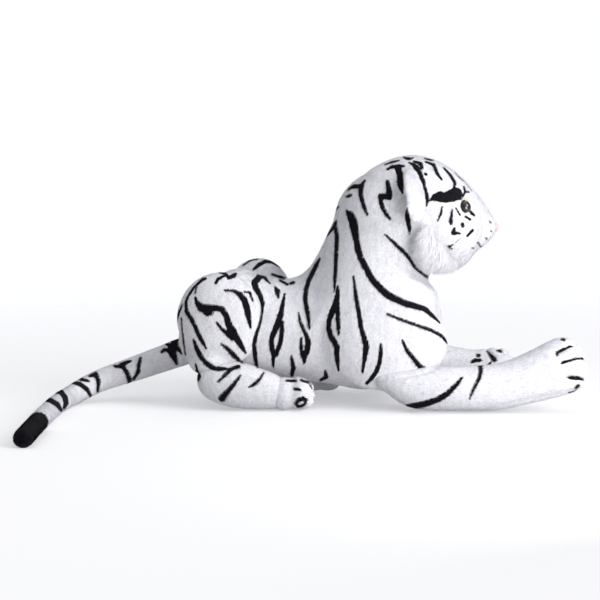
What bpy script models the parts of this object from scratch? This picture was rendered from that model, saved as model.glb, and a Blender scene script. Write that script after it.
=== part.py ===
# Plush tiger lying on its belly, built as the sewn bags it is made of.
# Run with: blender --background --python part.py
# Metres. The tiger looks along +X, its left side is +Y, and it lies on z = 0.
import math

import bmesh
import bpy
from mathutils import Matrix, Vector

# Clearances
seam_gap = 0.0003            # left between two pieces that touch
flat_depth = 0.0005          # how far a soft form is cut flat where it lies on the floor
cut_over = 0.004             # how far a cutter runs past what it cuts
same_point = 0.00001         # points of a turned shape closer than this are one

# The middle of the whole toy, tail and forelegs included, seen from the tiger's own middle plane
middle_ahead = 0.0158
middle_aside = -0.0818

# Torso
torso_length = 0.290
shoulder_height = 0.244
chest_half_width = 0.076
chest_sag_share = 0.20       # how much fuller the torso is low down
rump_back = 0.131            # rump's end behind the tiger's own zero
chest_floor = 0.0403         # underside of the shoulders, over the forelegs
keel_half_width = 0.0335     # belly left standing between the two forelegs

# Neck ball: the torso ends in it, the seam ring and the head turn on it
neck_behind_chest = 0.064    # its centre behind the chest's front end
neck_height = 0.182
neck_ball_radius = 0.064
neck_lean = math.radians(26.0)          # the neck's own direction, up from level
throat_clear = 0.0290                   # neck ball's centre above the plane where the ball starts
throat_lean = math.radians(59.5)        # that plane's normal, up from level
ring_wall = 0.002
ring_inner_share, ring_outer_share = 0.42, 0.62

# Head, in its own frame on the neck ball's centre
head_length = 0.112
head_height = 0.078          # crown above the neck ball's centre
head_half_width = 0.059
head_turn = math.radians(11.0)          # looks a little to its left
head_swing = math.radians(20.0)         # the most it turns either way from there
head_drop = math.radians(6.0)           # the most it nods down
nape_clear = 0.0248          # head's back edge ahead of the neck ball's centre

# Face
muzzle_half_width = 0.0285
chin_half_width = 0.0150
nose_half_width = 0.0080
nose_length = 0.0090
nose_half_height = 0.0052
nose_height = 0.0022
nose_out_share = 0.45        # how much of it stands out ahead of the head
eye_ahead, eye_height = 0.0655, 0.0245
eye_radius = 0.0062
eye_dome = 0.0040
eye_turn = math.radians(53.0)           # outwards from straight ahead
eye_tilt = math.radians(14.0)           # upwards
eye_rim = 0.0010             # eye's edge behind the cover's surface
shank_radius = 0.0018
shank_length = 0.0090
washer_radius = 0.0055
washer_wall = 0.0012
washer_depth = 0.0040        # cover and seam between the eye and its washer

# Ears, flat flaps laid back, each on a line down the side of the head
ear_ahead, ear_height = 0.0225, 0.0395
ear_length = 0.062
ear_width = 0.0245
ear_wall = 0.0075
ear_lean_share = (0.02, 0.50, -0.86)    # the fold line's way down the cheek
ear_back_share = (-0.93, 0.32, 0.05)    # the flap's way back from it
ear_bow = 0.0075             # how far the flap bends round the head

# Cheek ruffs
ruff_radius = 0.0125

# Limbs
thigh_half_length = 0.0470
thigh_half_height = 0.0510
thigh_half_width = 0.0275
thigh_height = 0.0920
thigh_aside = 0.0520
thigh_back = 0.0820
far_thigh_ahead = 0.0400     # the left haunch lies this much further forward
far_thigh_lift = 0.0060
far_thigh_length_share = 0.87
far_shin_ahead = 0.0300
far_leg_out = 0.0045         # and this much further out

shin_length = 0.086
shin_half_width = 0.0205
shin_height = 0.0455
hind_aside = 0.0585
ankle_back = 0.0165
ankle_ball_radius = 0.0172
hind_paw_length = 0.0330
hind_paw_half_width = 0.0190
hind_paw_height = 0.0365

foreleg_length = 0.224
foreleg_height = 0.047
foreleg_half_width = 0.0240
elbow_back = 0.0290          # elbow's end behind the foreleg's axis
elbow_behind_chest = 0.0630   # foreleg's axis behind the chest's front end
elbow_aside = 0.0640
foreleg_turn = math.radians(4.0)        # outwards
foreleg_seat_radius = 0.0705            # the foreleg's top is level within this reach of its axis
far_elbow_back = 0.0100      # the left foreleg is drawn back by this
far_length_share = 0.835

# Tail, thick at the rump, slack on the floor
tail_root_radius = 0.0160
tail_end_radius = 0.0088
tail_thinning = 2.6          # how soon it thins
tail_ball_share = 1.12       # a joint's ball beside the tail's own radius
tail_root_height = 0.0520
tail_root_back = 0.1280
tail_reach_back = 0.121      # from its root to its furthest point behind
tail_reach_aside = 0.257     # from the middle plane to its tip
tail_joint_shares = (0.0, 0.33, 0.60)
tail_tip_share = 0.765       # where the black end cap starts


def clear_scene():
    for old in list(bpy.data.objects):
        bpy.data.objects.remove(old, do_unlink=True)


def make_collection(name):
    made = bpy.data.collections.new(name)
    bpy.context.scene.collection.children.link(made)
    return made


def make_material(name, colour, roughness, metallic=0.0):
    made = bpy.data.materials.new(name)
    made.use_nodes = True
    shader = made.node_tree.nodes["Principled BSDF"]
    shader.inputs["Base Color"].default_value = (*colour, 1.0)
    shader.inputs["Roughness"].default_value = roughness
    shader.inputs["Metallic"].default_value = metallic
    made.diffuse_color = (*colour, 1.0)
    return made


def make_empty(name, place, turn=(0.0, 0.0, 0.0), parent=None):
    made = bpy.data.objects.new(name, None)
    made.location = place
    made.rotation_euler = turn
    made.parent = parent
    parts.objects.link(made)
    return made


def add_object(name, mesh, parent, material):
    """A part, or a cutter when it has no material."""
    made = bpy.data.objects.new(name, mesh)
    made.parent = parent
    if material is None:
        cutters.objects.link(made)
        made.display_type = "WIRE"
        made.hide_render = True
    else:
        parts.objects.link(made)
        mesh.materials.append(material)
    return made


def cut(piece, cutter, operation="DIFFERENCE"):
    step = piece.modifiers.new(cutter.name, "BOOLEAN")
    step.object = cutter
    step.operation = operation
    step.solver = "EXACT"


def swell(sides):
    """One subdivision draws a ring of so many sides in by this much, so the cage is made larger."""
    return 4.0 / (3.0 + math.cos(2.0 * math.pi / sides))


def loft(name, rings, ends, parent, material, grow=0.0, sides=12, sag=0.0):
    """A stuffed bag: rings of (centre, up, side) half axes between two end points, subdivided once."""
    shape = bmesh.new()
    loops = []
    for centre, up, side in rings:
        up = up.normalized() * (up.length + grow) * swell(sides)
        side = side.normalized() * (side.length + grow) * swell(sides)
        loop = []
        for step in range(sides):
            angle = 2.0 * math.pi * step / sides
            across = math.sin(angle) * (1.0 - sag * math.cos(angle))
            loop.append(shape.verts.new(centre + up * math.cos(angle) + side * across))
        loops.append(loop)
    for near, far in zip(loops, loops[1:]):
        for step in range(sides):
            after = (step + 1) % sides
            shape.faces.new((near[step], near[after], far[after], far[step]))
    for loop, end, inner in ((loops[0], ends[0], rings[0][0]), (loops[-1], ends[1], rings[-1][0])):
        way = (end - inner).normalized()
        pole = shape.verts.new(end + way * grow)
        for step in range(sides):
            shape.faces.new((loop[step], loop[(step + 1) % sides], pole))
    bmesh.ops.recalc_face_normals(shape, faces=shape.faces)
    mesh = bpy.data.meshes.new(name)
    shape.to_mesh(mesh)
    shape.free()
    mesh.shade_smooth()
    made = add_object(name, mesh, parent, material)
    smooth = made.modifiers.new("stuffing", "SUBSURF")
    smooth.levels = 1
    smooth.render_levels = 1
    return made


def make_sphere(name, centre, radius, parent, segments=20, rings=12, around=False):
    """A round cutter. With around set its facets lie outside the radius, not inside it."""
    if around:
        radius = radius / (math.cos(math.pi / segments) * math.cos(math.pi / (2.0 * rings)))
    mesh = bpy.data.meshes.new(name)
    shape = bmesh.new()
    bmesh.ops.create_uvsphere(shape, u_segments=segments, v_segments=rings, radius=radius)
    bmesh.ops.translate(shape, verts=shape.verts, vec=centre)
    shape.to_mesh(mesh)
    shape.free()
    return add_object(name, mesh, parent, None)


def make_box(name, low, high, parent, turn=None):
    """A cutter between two corners, turned about the parent's origin."""
    mesh = bpy.data.meshes.new(name)
    shape = bmesh.new()
    bmesh.ops.create_cube(shape, size=1.0)
    size = Vector(high) - Vector(low)
    bmesh.ops.scale(shape, verts=shape.verts, vec=size)
    bmesh.ops.translate(shape, verts=shape.verts, vec=(Vector(high) + Vector(low)) / 2.0)
    if turn is not None:
        bmesh.ops.transform(shape, matrix=turn, verts=shape.verts)
    shape.to_mesh(mesh)
    shape.free()
    return add_object(name, mesh, parent, None)


def make_post(name, centre, radius, low, high, parent):
    """An upright round cutter."""
    mesh = bpy.data.meshes.new(name)
    shape = bmesh.new()
    bmesh.ops.create_cone(shape, cap_ends=True, segments=48, radius1=radius, radius2=radius,
                          depth=high - low)
    bmesh.ops.translate(shape, verts=shape.verts, vec=(centre[0], centre[1], (high + low) / 2.0))
    shape.to_mesh(mesh)
    shape.free()
    return add_object(name, mesh, parent, None)


def turned(name, profile, closed, place, parent, material, steps=24):
    """A profile of (radius, height) points turned round the piece's own upright axis."""
    mesh = bpy.data.meshes.new(name)
    points = [Vector((radius, 0.0, height)) for radius, height in profile]
    edges = [(k, k + 1) for k in range(len(points) - 1)]
    if closed:
        edges.append((len(points) - 1, 0))
    mesh.from_pydata(points, edges, [])
    made = add_object(name, mesh, parent, material)
    made.matrix_local = place
    screw = made.modifiers.new("turn", "SCREW")
    screw.steps = steps
    screw.render_steps = steps
    screw.use_merge_vertices = True
    screw.merge_threshold = same_point
    return made


def pair_rings(table, length, height, half_width, back=0.0):
    """Rings from shares: upper point (x, z), lower point (x, z) and half width."""
    rings = []
    for top_x, top_z, low_x, low_z, wide in table:
        top = Vector((top_x * length - back, 0.0, top_z * height))
        low = Vector((low_x * length - back, 0.0, low_z * height))
        rings.append(((top + low) / 2.0, (top - low) / 2.0, Vector((0.0, wide * half_width, 0.0))))
    return rings


def upright_rings(table, length, height, half_width, drop=1.0):
    """Rings along +X from shares: x, lower z, upper z and half width."""
    rings = []
    for along, low, top, wide in table:
        centre = Vector((along * length, 0.0, (low + top) / 2.0 * height * drop))
        up = Vector((0.0, 0.0, (top - low) / 2.0 * height))
        rings.append((centre, up, Vector((0.0, wide * half_width, 0.0))))
    return rings


def floor_cutter(name, low_x, high_x, low_y, high_y, parent):
    """A box under the floor, cutting off what a soft form sinks below it."""
    deep = -flat_depth - cut_over
    return make_box(name, (low_x, low_y, deep), (high_x, high_y, 0.0), parent)


clear_scene()
parts = make_collection("plush_tiger")
cutters = make_collection("cutters")

white_plush = make_material("white_plush", (0.83, 0.83, 0.85), 0.9)
long_pile = make_material("long_pile", (0.88, 0.88, 0.90), 0.95)
black_plush = make_material("black_plush", (0.02, 0.02, 0.025), 0.9)
seam_cloth = make_material("seam_cloth", (0.72, 0.72, 0.73), 0.9)
pink_nose = make_material("pink_nose", (0.80, 0.42, 0.42), 0.6)
eye_plastic = make_material("eye_plastic", (0.05, 0.03, 0.02), 0.08)
washer_plastic = make_material("washer_plastic", (0.80, 0.80, 0.78), 0.45)

tiger = make_empty("tiger", (-middle_ahead, -middle_aside, 0.0))

# Torso: upper point (x, z), lower point (x, z), half width
torso_shares = (
    (0.024, 0.426, 0.031, 0.172, 0.45),
    (0.107, 0.535, 0.121, 0.127, 0.62),
    (0.238, 0.578, 0.252, 0.103, 0.69),
    (0.3676, 0.530, 0.3821, 0.088, 0.72),
    (0.4516, 0.536, 0.5172, 0.064, 0.79),
    (0.4999, 0.612, 0.6669, 0.050, 0.89),
    (0.5346, 0.706, 0.8407, 0.064, 0.98),
    (0.5713, 0.805, 0.9662, 0.145, 0.94),
    (0.6138, 0.890, 0.9855, 0.300, 0.82),
    (0.6621, 0.956, 0.9633, 0.443, 0.75),
    (0.7200, 1.002, 0.9324, 0.535, 0.73),
    (0.8069, 1.020, 0.9759, 0.620, 0.72),
    (0.8764, 1.015, 1.0116, 0.665, 0.66),
)
torso_end_shares = ((0.0, 0.285), (1.0097, 0.880))


def torso_bag(name, material, grow):
    ends = [Vector((x * torso_length - rump_back, 0.0, z * shoulder_height)) for x, z in torso_end_shares]
    rings = pair_rings(torso_shares, torso_length, shoulder_height, chest_half_width, rump_back)
    return loft(name, rings, ends, tiger, material, grow, 14, chest_sag_share)


neck_centre = Vector((torso_length - rump_back - neck_behind_chest, 0.0, neck_height))
torso = torso_bag("torso", white_plush, 0.0)
torso_room = torso_bag("torso_room", None, seam_gap)

# Above the throat plane the torso is the neck ball and nothing more
reach = neck_ball_radius * 3.0
throat_turn = Matrix.Rotation(math.pi / 2.0 - throat_lean, 4, "Y")
above_throat = make_box("above_throat", (-reach, -reach, -throat_clear), (reach, reach, reach), tiger,
                        Matrix.Translation(neck_centre) @ throat_turn)
neck_ball = make_sphere("neck_ball", neck_centre, neck_ball_radius, tiger, 40, 22)
cut(above_throat, neck_ball)
cut(torso, above_throat)


# Tail's centre line, evenly spaced: behind the root, aside and up, as shares of its reaches and height
tail_route_shares = (
    (0.0, 0.0, 1.0),
    (0.36, 0.0, 0.690),
    (0.68, 0.01, 0.430),
    (0.88, 0.11, 0.225),
    (0.957, 0.29, 0.150),
    (0.985, 0.47, 0.100),
    (0.995, 0.65, 0.0),
    (1.0, 0.82, 0.0),
    (1.0, 1.0, 0.0),
)


def tail_radius(share):
    return tail_end_radius + (tail_root_radius - tail_end_radius) * (1.0 - share) ** tail_thinning


def tail_path(share):
    """The tail runs back and down, turns on the floor and ends out to the right: a smooth curve."""
    last = len(tail_route_shares) - 2
    place = share * (last + 1)
    number = min(max(int(place), 0), last)
    part_way = place - number
    around = [tail_route_shares[min(max(number + step, 0), last + 1)] for step in (-1, 0, 1, 2)]
    point = []
    for before, start, end, after in zip(*around):
        rise = (end - before) / 2.0
        fall = (after - start) / 2.0
        bend = start + rise * part_way
        bend += (3.0 * (end - start) - 2.0 * rise - fall) * part_way ** 2
        bend += (2.0 * (start - end) + rise + fall) * part_way ** 3
        point.append(bend)
    back, aside, up = point
    height = max(up * tail_root_height, tail_radius(share) - flat_depth)
    return Vector((-tail_root_back - tail_reach_back * back, -tail_reach_aside * aside, height))


def tail_rings(start, end, count):
    rings = []
    for step in range(count):
        share = start + (end - start) * step / (count - 1)
        small = 0.01
        way = (tail_path(min(share + small, 1.0)) - tail_path(max(share - small, 0.0))).normalized()
        side = way.cross(Vector((0.0, 0.0, 1.0))).normalized() * tail_radius(share)
        rings.append((tail_path(share), side.cross(way).normalized() * tail_radius(share), side))
    return rings


def tail_bag(name, start, end, count, material, round_end, grow=0.0):
    rings = tail_rings(start, end, count)
    ways = ((rings[0][0] - rings[1][0]).normalized(), (rings[-1][0] - rings[-2][0]).normalized())
    bulge = tail_radius(end) * round_end
    ends = (rings[0][0] + ways[0] * seam_gap, rings[-1][0] + ways[1] * max(bulge, seam_gap))
    return loft(name, rings, ends, tiger, material, grow, 10)


joint_centres = [tail_path(share) for share in tail_joint_shares]
joint_radii = [tail_radius(share) * tail_ball_share for share in tail_joint_shares]
tail_names = ("tail_base", "tail_middle", "tail_end")
tail_stops = (*tail_joint_shares[1:], tail_tip_share)
tail_pieces = []
for number, name in enumerate(tail_names):
    count = 6
    bag = tail_bag(name, tail_joint_shares[number], tail_stops[number], count, white_plush, 0.0)
    tail_pieces.append(bag)
tail_tip = tail_bag("tail_tip", tail_tip_share, 1.0, 4, black_plush, 0.75)

for number, piece in enumerate(tail_pieces):
    if number:
        room = make_sphere(f"tail_room_{number}", joint_centres[number],
                           joint_radii[number] + seam_gap, tiger, around=True)
        cut(piece, room)
        ball = make_sphere(f"tail_ball_{number}", joint_centres[number], joint_radii[number], tiger)
        cut(tail_pieces[number - 1], ball, "UNION")
root_ball = make_sphere("tail_ball_0", joint_centres[0], joint_radii[0], tiger)
cut(tail_pieces[0], root_ball, "UNION")
root_room = make_sphere("tail_room_0", joint_centres[0], joint_radii[0] + seam_gap, tiger, around=True)
cut(torso, root_room)
tip_seam = tail_path(tail_tip_share)
tip_way = (tail_path(1.0) - tip_seam).normalized()
tip_turn = Vector((0.0, 0.0, 1.0)).rotation_difference(tip_way).to_matrix().to_4x4()
tip_reach = tail_end_radius * 2.0
behind_tip = make_box("behind_tip", (-tip_reach, -tip_reach, -tip_reach),
                      (tip_reach, tip_reach, seam_gap), tiger, Matrix.Translation(tip_seam) @ tip_turn)
cut(tail_tip, behind_tip)
ahead_of_tip = make_box("ahead_of_tip", (-tip_reach, -tip_reach, 0.0),
                        (tip_reach, tip_reach, tip_reach), tiger, Matrix.Translation(tip_seam) @ tip_turn)
cut(tail_pieces[-1], ahead_of_tip)
tail_floor = floor_cutter("tail_floor", -tail_root_back - tail_reach_back * 1.3, -tail_root_back,
                          -tail_reach_aside * 1.2, tail_reach_aside * 0.2, tiger)
for piece in (*tail_pieces, tail_tip):
    cut(piece, tail_floor)

# Haunches
thigh_shares = ((-0.82, 0.52), (-0.50, 0.85), (0.0, 1.0), (0.50, 0.87), (0.82, 0.55))


def thigh_bag(name, side, place, material, grow):
    """A haunch: a thick disc on edge. Its place is how far ahead, out and up it lies, and its length."""
    ahead, out, lift, half_length = place
    centre = Vector((ahead - thigh_back, side * (thigh_aside + out), thigh_height + lift))
    rings = []
    for along, size in thigh_shares:
        place = centre + Vector((along * half_length, 0.0, 0.0))
        rings.append((place, Vector((0.0, 0.0, thigh_half_height * size)),
                      Vector((0.0, thigh_half_width * size, 0.0))))
    ends = (centre - Vector((half_length, 0.0, 0.0)), centre + Vector((half_length, 0.0, 0.0)))
    return loft(name, rings, ends, tiger, material, grow, 12)


# Hind legs: the shin under the haunch, then the paw on a round ankle
shin_shares = (
    (0.06, 0.36, 0.94, 0.64),
    (0.24, 0.13, 1.17, 0.98),
    (0.50, 0.0, 1.15, 1.0),
    (0.76, 0.0, 0.92, 0.93),
    (1.0, 0.03, 0.70, 0.74),
)
hind_paw_shares = (
    (0.25, 0.0, 0.97, 0.95),
    (0.60, 0.0, 1.0, 1.0),
    (0.88, 0.10, 0.82, 0.78),
)


def moved(rings, place, turn=0.0):
    spin = Matrix.Rotation(turn, 3, "Z")
    return [(place + spin @ centre, spin @ up, spin @ side) for centre, up, side in rings]


def hind_leg(side, label, thigh_ahead, thigh_lift, half_length, ahead, out):
    thigh_place = (thigh_ahead, out, thigh_lift, half_length)
    thigh = thigh_bag(f"thigh_{label}", side, thigh_place, white_plush, 0.0)
    thigh_room = thigh_bag(f"thigh_room_{label}", side, thigh_place, None, seam_gap)
    cut(thigh, torso_room)
    ankle = Vector((ahead - ankle_back, side * (hind_aside + out), 0.0))
    start = ankle - Vector((shin_length, 0.0, flat_depth))
    rings = moved(upright_rings(shin_shares, shin_length, shin_height, shin_half_width), start)
    ends = (start + Vector((0.0, 0.0, shin_height * 0.5)), rings[-1][0] + Vector((flat_depth, 0.0, 0.0)))
    shin = loft(f"shin_{label}", rings, ends, tiger, white_plush, 0.0, 12)
    cut(shin, thigh_room)
    cut(shin, torso_room)
    ball_centre = ankle + Vector((0.0, 0.0, ankle_ball_radius - flat_depth))
    ankle_room = make_sphere(f"ankle_room_{label}", ball_centre, ankle_ball_radius + seam_gap, tiger,
                             around=True)
    cut(shin, ankle_room)
    paw_start = ankle - Vector((0.0, 0.0, flat_depth))
    rings = moved(upright_rings(hind_paw_shares, hind_paw_length, hind_paw_height,
                                hind_paw_half_width), paw_start)
    tip = paw_start + Vector((hind_paw_length, 0.0, hind_paw_height * 0.46))
    ends = (ball_centre, tip)
    paw = loft(f"hind_paw_{label}", rings, ends, tiger, white_plush, 0.0, 12)
    ankle_ball = make_sphere(f"ankle_ball_{label}", ball_centre, ankle_ball_radius, tiger)
    cut(paw, ankle_ball, "UNION")
    under = floor_cutter(f"hind_floor_{label}", start.x - cut_over, tip.x + cut_over,
                         ankle.y - shin_half_width * 2.0, ankle.y + shin_half_width * 2.0, tiger)
    cut(shin, under)
    cut(paw, under)


hind_leg(-1.0, "right", 0.0, 0.0, thigh_half_length, 0.0, 0.0)
hind_leg(1.0, "left", far_thigh_ahead, far_thigh_lift, thigh_half_length * far_thigh_length_share,
         far_shin_ahead, far_leg_out)

# Forelegs: x, lower z, upper z, half width from the elbow to the paw's end
foreleg_shares = (
    (0.03, 0.44, 0.93, 0.62),
    (0.13, 0.18, 1.02, 0.88),
    (0.28, -0.01, 1.05, 1.0),
    (0.45, -0.01, 1.03, 1.0),
    (0.58, 0.0, 1.05, 0.96),
    (0.69, 0.12, 1.22, 0.93),
    (0.79, 0.24, 1.44, 1.00),
    (0.875, 0.34, 1.63, 1.06),
    (0.94, 0.43, 1.52, 1.0),
    (0.98, 0.55, 1.28, 0.74),
)
far_foreleg_shares = (
    (0.03, 0.30, 0.90, 0.62),
    (0.13, 0.06, 1.02, 0.88),
    (0.28, -0.01, 1.05, 1.0),
    (0.45, -0.01, 1.03, 1.0),
    (0.60, -0.01, 0.98, 0.95),
    (0.74, -0.01, 0.98, 0.97),
    (0.86, -0.01, 1.06, 1.06),
    (0.94, 0.04, 0.98, 1.0),
    (0.98, 0.16, 0.80, 0.72),
)


def foreleg(side, label, back, table, length):
    elbow = Vector((torso_length - rump_back - elbow_behind_chest - back, side * elbow_aside, 0.0))
    spin = side * foreleg_turn
    pivot = make_empty(f"foreleg_axis_{label}", elbow, (0.0, 0.0, spin), tiger)
    start = Vector((-elbow_back, 0.0, -flat_depth))
    rings = moved(upright_rings(table, length, foreleg_height, foreleg_half_width), start)
    low, top = table[-1][1], table[-1][2]
    ends = (start + Vector((0.0, 0.0, foreleg_height * 0.62)),
            start + Vector((length, 0.0, foreleg_height * (low + top) / 2.0)))
    leg = loft(f"foreleg_{label}", rings, ends, pivot, white_plush, 0.0, 12)
    seat = make_post(f"foreleg_seat_{label}", (0.0, 0.0), foreleg_seat_radius, chest_floor - seam_gap,
                     foreleg_height * 2.0, pivot)
    cut(leg, seat)
    cut(leg, floor_cutter(f"foreleg_floor_{label}", -elbow_back * 2.0, length, -foreleg_half_width * 2.0,
                          foreleg_half_width * 2.0, pivot))
    near_y = side * keel_half_width
    far_y = side * chest_half_width * 1.5
    pocket = make_box(f"foreleg_pocket_{label}",
                      (elbow.x - elbow_back - cut_over, min(near_y, far_y), -cut_over),
                      (torso_length, max(near_y, far_y), chest_floor), tiger)
    cut(torso, pocket)


foreleg(-1.0, "right", 0.0, foreleg_shares, foreleg_length)
foreleg(1.0, "left", far_elbow_back, far_foreleg_shares, foreleg_length * far_length_share)

# Head
head_axis = make_empty("head_axis", neck_centre, (0.0, 0.0, head_turn), tiger)
head_shares = (
    (-0.120, 0.870, 0.320, -0.560, 0.88),
    (0.020, 0.955, 0.420, -0.600, 0.95),
    (0.210, 1.000, 0.530, -0.605, 1.00),
    (0.420, 0.925, 0.630, -0.580, 1.00),
    (0.590, 0.785, 0.710, -0.490, 0.90),
    (0.735, 0.590, 0.750, -0.410, 0.69),
    (0.850, 0.410, 0.830, -0.290, 0.47),
    (0.940, 0.260, 0.905, -0.150, 0.27),
)


def head_bag(name, material, grow):
    rings = pair_rings(head_shares, head_length, head_height, head_half_width)
    ends = (Vector((0.0, 0.0, 0.0)), Vector((head_length, 0.0, head_height * 0.065)))
    return loft(name, rings, ends, head_axis, material, grow, 14)


head = head_bag("head", white_plush, 0.0)
head_room = head_bag("head_room", None, seam_gap)
cup_radius = neck_ball_radius + ring_wall + 2.0 * seam_gap
head_cup = make_sphere("head_cup", Vector((0.0, 0.0, 0.0)), cup_radius, head_axis, 40, 22, True)
nape_turn = Matrix.Rotation(math.pi / 2.0 - neck_lean, 4, "Y")
behind_nape = make_box("behind_nape", (-reach, -reach, -reach), (reach, reach, nape_clear), head_axis,
                       nape_turn)
cut(head, behind_nape)
cut(head, head_cup)
behind_room = make_box("behind_room", (-reach, -reach, -reach), (reach, reach, nape_clear - seam_gap),
                       head_axis, nape_turn)
cut(head_room, behind_room)


def on_head(ahead, side, height):
    """The point of the head's surface beside a place in its middle plane."""
    bpy.context.view_layer.update()
    graph = bpy.context.evaluated_depsgraph_get()
    middle = Vector((ahead, 0.0, height))
    hit, point, normal, face = head_room.evaluated_get(graph).ray_cast(middle, Vector((0.0, side, 0.0)))
    return point


# Seam ring on which the head turns and nods
ring_inner = neck_ball_radius + seam_gap
ring_outer = ring_inner + ring_wall
ring_steps = 3
ring_profile = []
for step in range(ring_steps + 1):
    angle = math.asin(ring_inner_share + (ring_outer_share - ring_inner_share) * step / ring_steps)
    ring_profile.append((ring_outer * math.sin(angle), ring_outer * math.cos(angle)))
for step in range(ring_steps, -1, -1):
    angle = math.asin(ring_inner_share + (ring_outer_share - ring_inner_share) * step / ring_steps)
    ring_profile.append((ring_inner * math.sin(angle), ring_inner * math.cos(angle)))
neck_seam = turned("neck_seam", ring_profile, True, Matrix.Translation(neck_centre) @ nape_turn, tiger,
                   seam_cloth, 40)

# Muzzle, nose and chin, each bag cut by the larger ones
muzzle_shares = (
    (0.740, 0.170, 0.630, -0.455, 0.74),
    (0.840, 0.210, 0.720, -0.400, 1.00),
    (0.925, 0.190, 0.840, -0.290, 0.96),
    (0.985, 0.120, 0.935, -0.160, 0.68),
)
chin_shares = (
    (0.580, -0.290, 0.560, -0.575, 0.70),
    (0.680, -0.260, 0.665, -0.535, 1.00),
    (0.765, -0.270, 0.755, -0.440, 0.74),
)
nose_shares = (
    (0.10, 0.70, 0.80),
    (0.42, 0.95, 0.98),
    (0.70, 1.00, 1.00),
    (0.92, 0.72, 0.74),
)


def face_bag(name, table, half_width, material, grow):
    """A small bag on the face, from inside the head to its front."""
    rings = pair_rings(table, head_length, head_height, half_width)
    first, last = rings[0][0], rings[-1][0]
    ends = (first - (rings[1][0] - first) * 0.3, last + (last - rings[-2][0]) * 0.4)
    return loft(name, rings, ends, head_axis, material, grow, 12)


muzzle = face_bag("muzzle", muzzle_shares, muzzle_half_width, white_plush, 0.0)
muzzle_room = face_bag("muzzle_room", muzzle_shares, muzzle_half_width, None, seam_gap)
cut(muzzle, head_room)
chin = face_bag("chin", chin_shares, chin_half_width, white_plush, 0.0)
cut(chin, head_room)
cut(chin, muzzle_room)

nose_front = head_length + nose_length * nose_out_share
nose_rings = []
for along, tall, wide in nose_shares:
    centre = Vector((nose_front - nose_length * (1.0 - along), 0.0, nose_height))
    nose_rings.append((centre, Vector((0.0, 0.0, tall * nose_half_height)),
                       Vector((0.0, wide * nose_half_width, 0.0))))
nose_ends = (Vector((nose_front - nose_length, 0.0, nose_height)), Vector((nose_front, 0.0, nose_height)))
nose = loft("nose", nose_rings, nose_ends, head_axis, pink_nose, 0.0, 12)
cut(nose, head_room)
cut(nose, muzzle_room)

# Eyes: a plastic dome on a shank, held by a washer behind the cover
dome_steps = 5
eye_profile = []
for step in range(dome_steps + 1):
    angle = math.pi / 2.0 * step / dome_steps
    eye_profile.append((eye_radius * math.sin(angle), eye_dome * math.cos(angle)))
eye_profile += [(eye_radius, -eye_rim), (shank_radius, -eye_rim), (shank_radius, -shank_length),
                (0.0, -shank_length)]
washer_top = -eye_rim - washer_depth
washer_profile = [(washer_radius, washer_top), (washer_radius, washer_top - washer_wall),
                  (shank_radius + seam_gap, washer_top - washer_wall), (shank_radius + seam_gap, washer_top)]
socket_profile = [
    (0.0, eye_dome + cut_over),
    (eye_radius + seam_gap, eye_dome + cut_over),
    (eye_radius + seam_gap, -eye_rim - seam_gap),
    (shank_radius + seam_gap, -eye_rim - seam_gap),
    (shank_radius + seam_gap, washer_top + seam_gap),
    (washer_radius + seam_gap, washer_top + seam_gap),
    (washer_radius + seam_gap, washer_top - washer_wall - seam_gap),
    (shank_radius + seam_gap, washer_top - washer_wall - seam_gap),
    (shank_radius + seam_gap, -shank_length - seam_gap),
    (0.0, -shank_length - seam_gap),
]
for side, label in ((-1.0, "right"), (1.0, "left")):
    look = Vector((math.cos(eye_tilt) * math.cos(eye_turn), side * math.cos(eye_tilt) * math.sin(eye_turn),
                   math.sin(eye_tilt)))
    seat = Matrix.Translation(on_head(eye_ahead, side, eye_height))
    seat = seat @ Vector((0.0, 0.0, 1.0)).rotation_difference(look).to_matrix().to_4x4()
    turned(f"eye_{label}", eye_profile, False, seat, head_axis, eye_plastic)
    turned(f"eye_washer_{label}", washer_profile, True, seat, head_axis, washer_plastic)
    socket = turned(f"eye_socket_{label}", socket_profile, False, seat, head_axis, None)
    cut(head, socket)

# Ears
ear_shares = ((-0.47, 0.55), (-0.34, 0.86), (-0.10, 1.0), (0.14, 1.0), (0.34, 0.85), (0.47, 0.52))


def ear_ways(side):
    """The fold line's way down the cheek, the flap's way back from it and the way out of the head."""
    down = Vector((ear_lean_share[0], side * ear_lean_share[1], ear_lean_share[2])).normalized()
    back = Vector((ear_back_share[0], side * ear_back_share[1], ear_back_share[2]))
    back = (back - down * back.dot(down)).normalized()
    return down, back, down.cross(back) * side


def ear_flap(name, side, material, grow):
    """A flap behind its fold line, bent round the head."""
    down, back, out = ear_ways(side)
    fold = on_head(ear_ahead, side, ear_height)
    rings = []
    for along, size in ear_shares:
        bow = -ear_bow * (2.0 * along) ** 2
        half = ear_width / 2.0 * size
        centre = fold + down * along * ear_length + back * half + out * bow
        rings.append((centre, back * half, out * ear_wall / 2.0 * (0.5 + size / 2.0)))
    ends = (rings[0][0] - down * ear_length * 0.03, rings[-1][0] + down * ear_length * 0.03)
    return loft(name, rings, ends, head_axis, material, grow, 12)


def ear(side, label):
    flap = ear_flap(f"ear_{label}", side, white_plush, 0.0)
    down, back, out = ear_ways(side)
    stand = Matrix.Translation(on_head(ear_ahead, side, ear_height))
    stand = stand @ Vector((0.0, 0.0, 1.0)).rotation_difference(back).to_matrix().to_4x4()
    ahead = make_box(f"ear_front_{label}", (-ear_length, -ear_length, -ear_width),
                     (ear_length, ear_length, 0.0), head_axis, stand)
    cut(flap, ahead)
    cut(flap, head_room)
    cut(flap, ear_cup)


ear_cup = make_sphere("ear_cup", Vector((0.0, 0.0, 0.0)), cup_radius + seam_gap, head_axis, 40, 22, True)
ear(-1.0, "right")
ear(1.0, "left")

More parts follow.
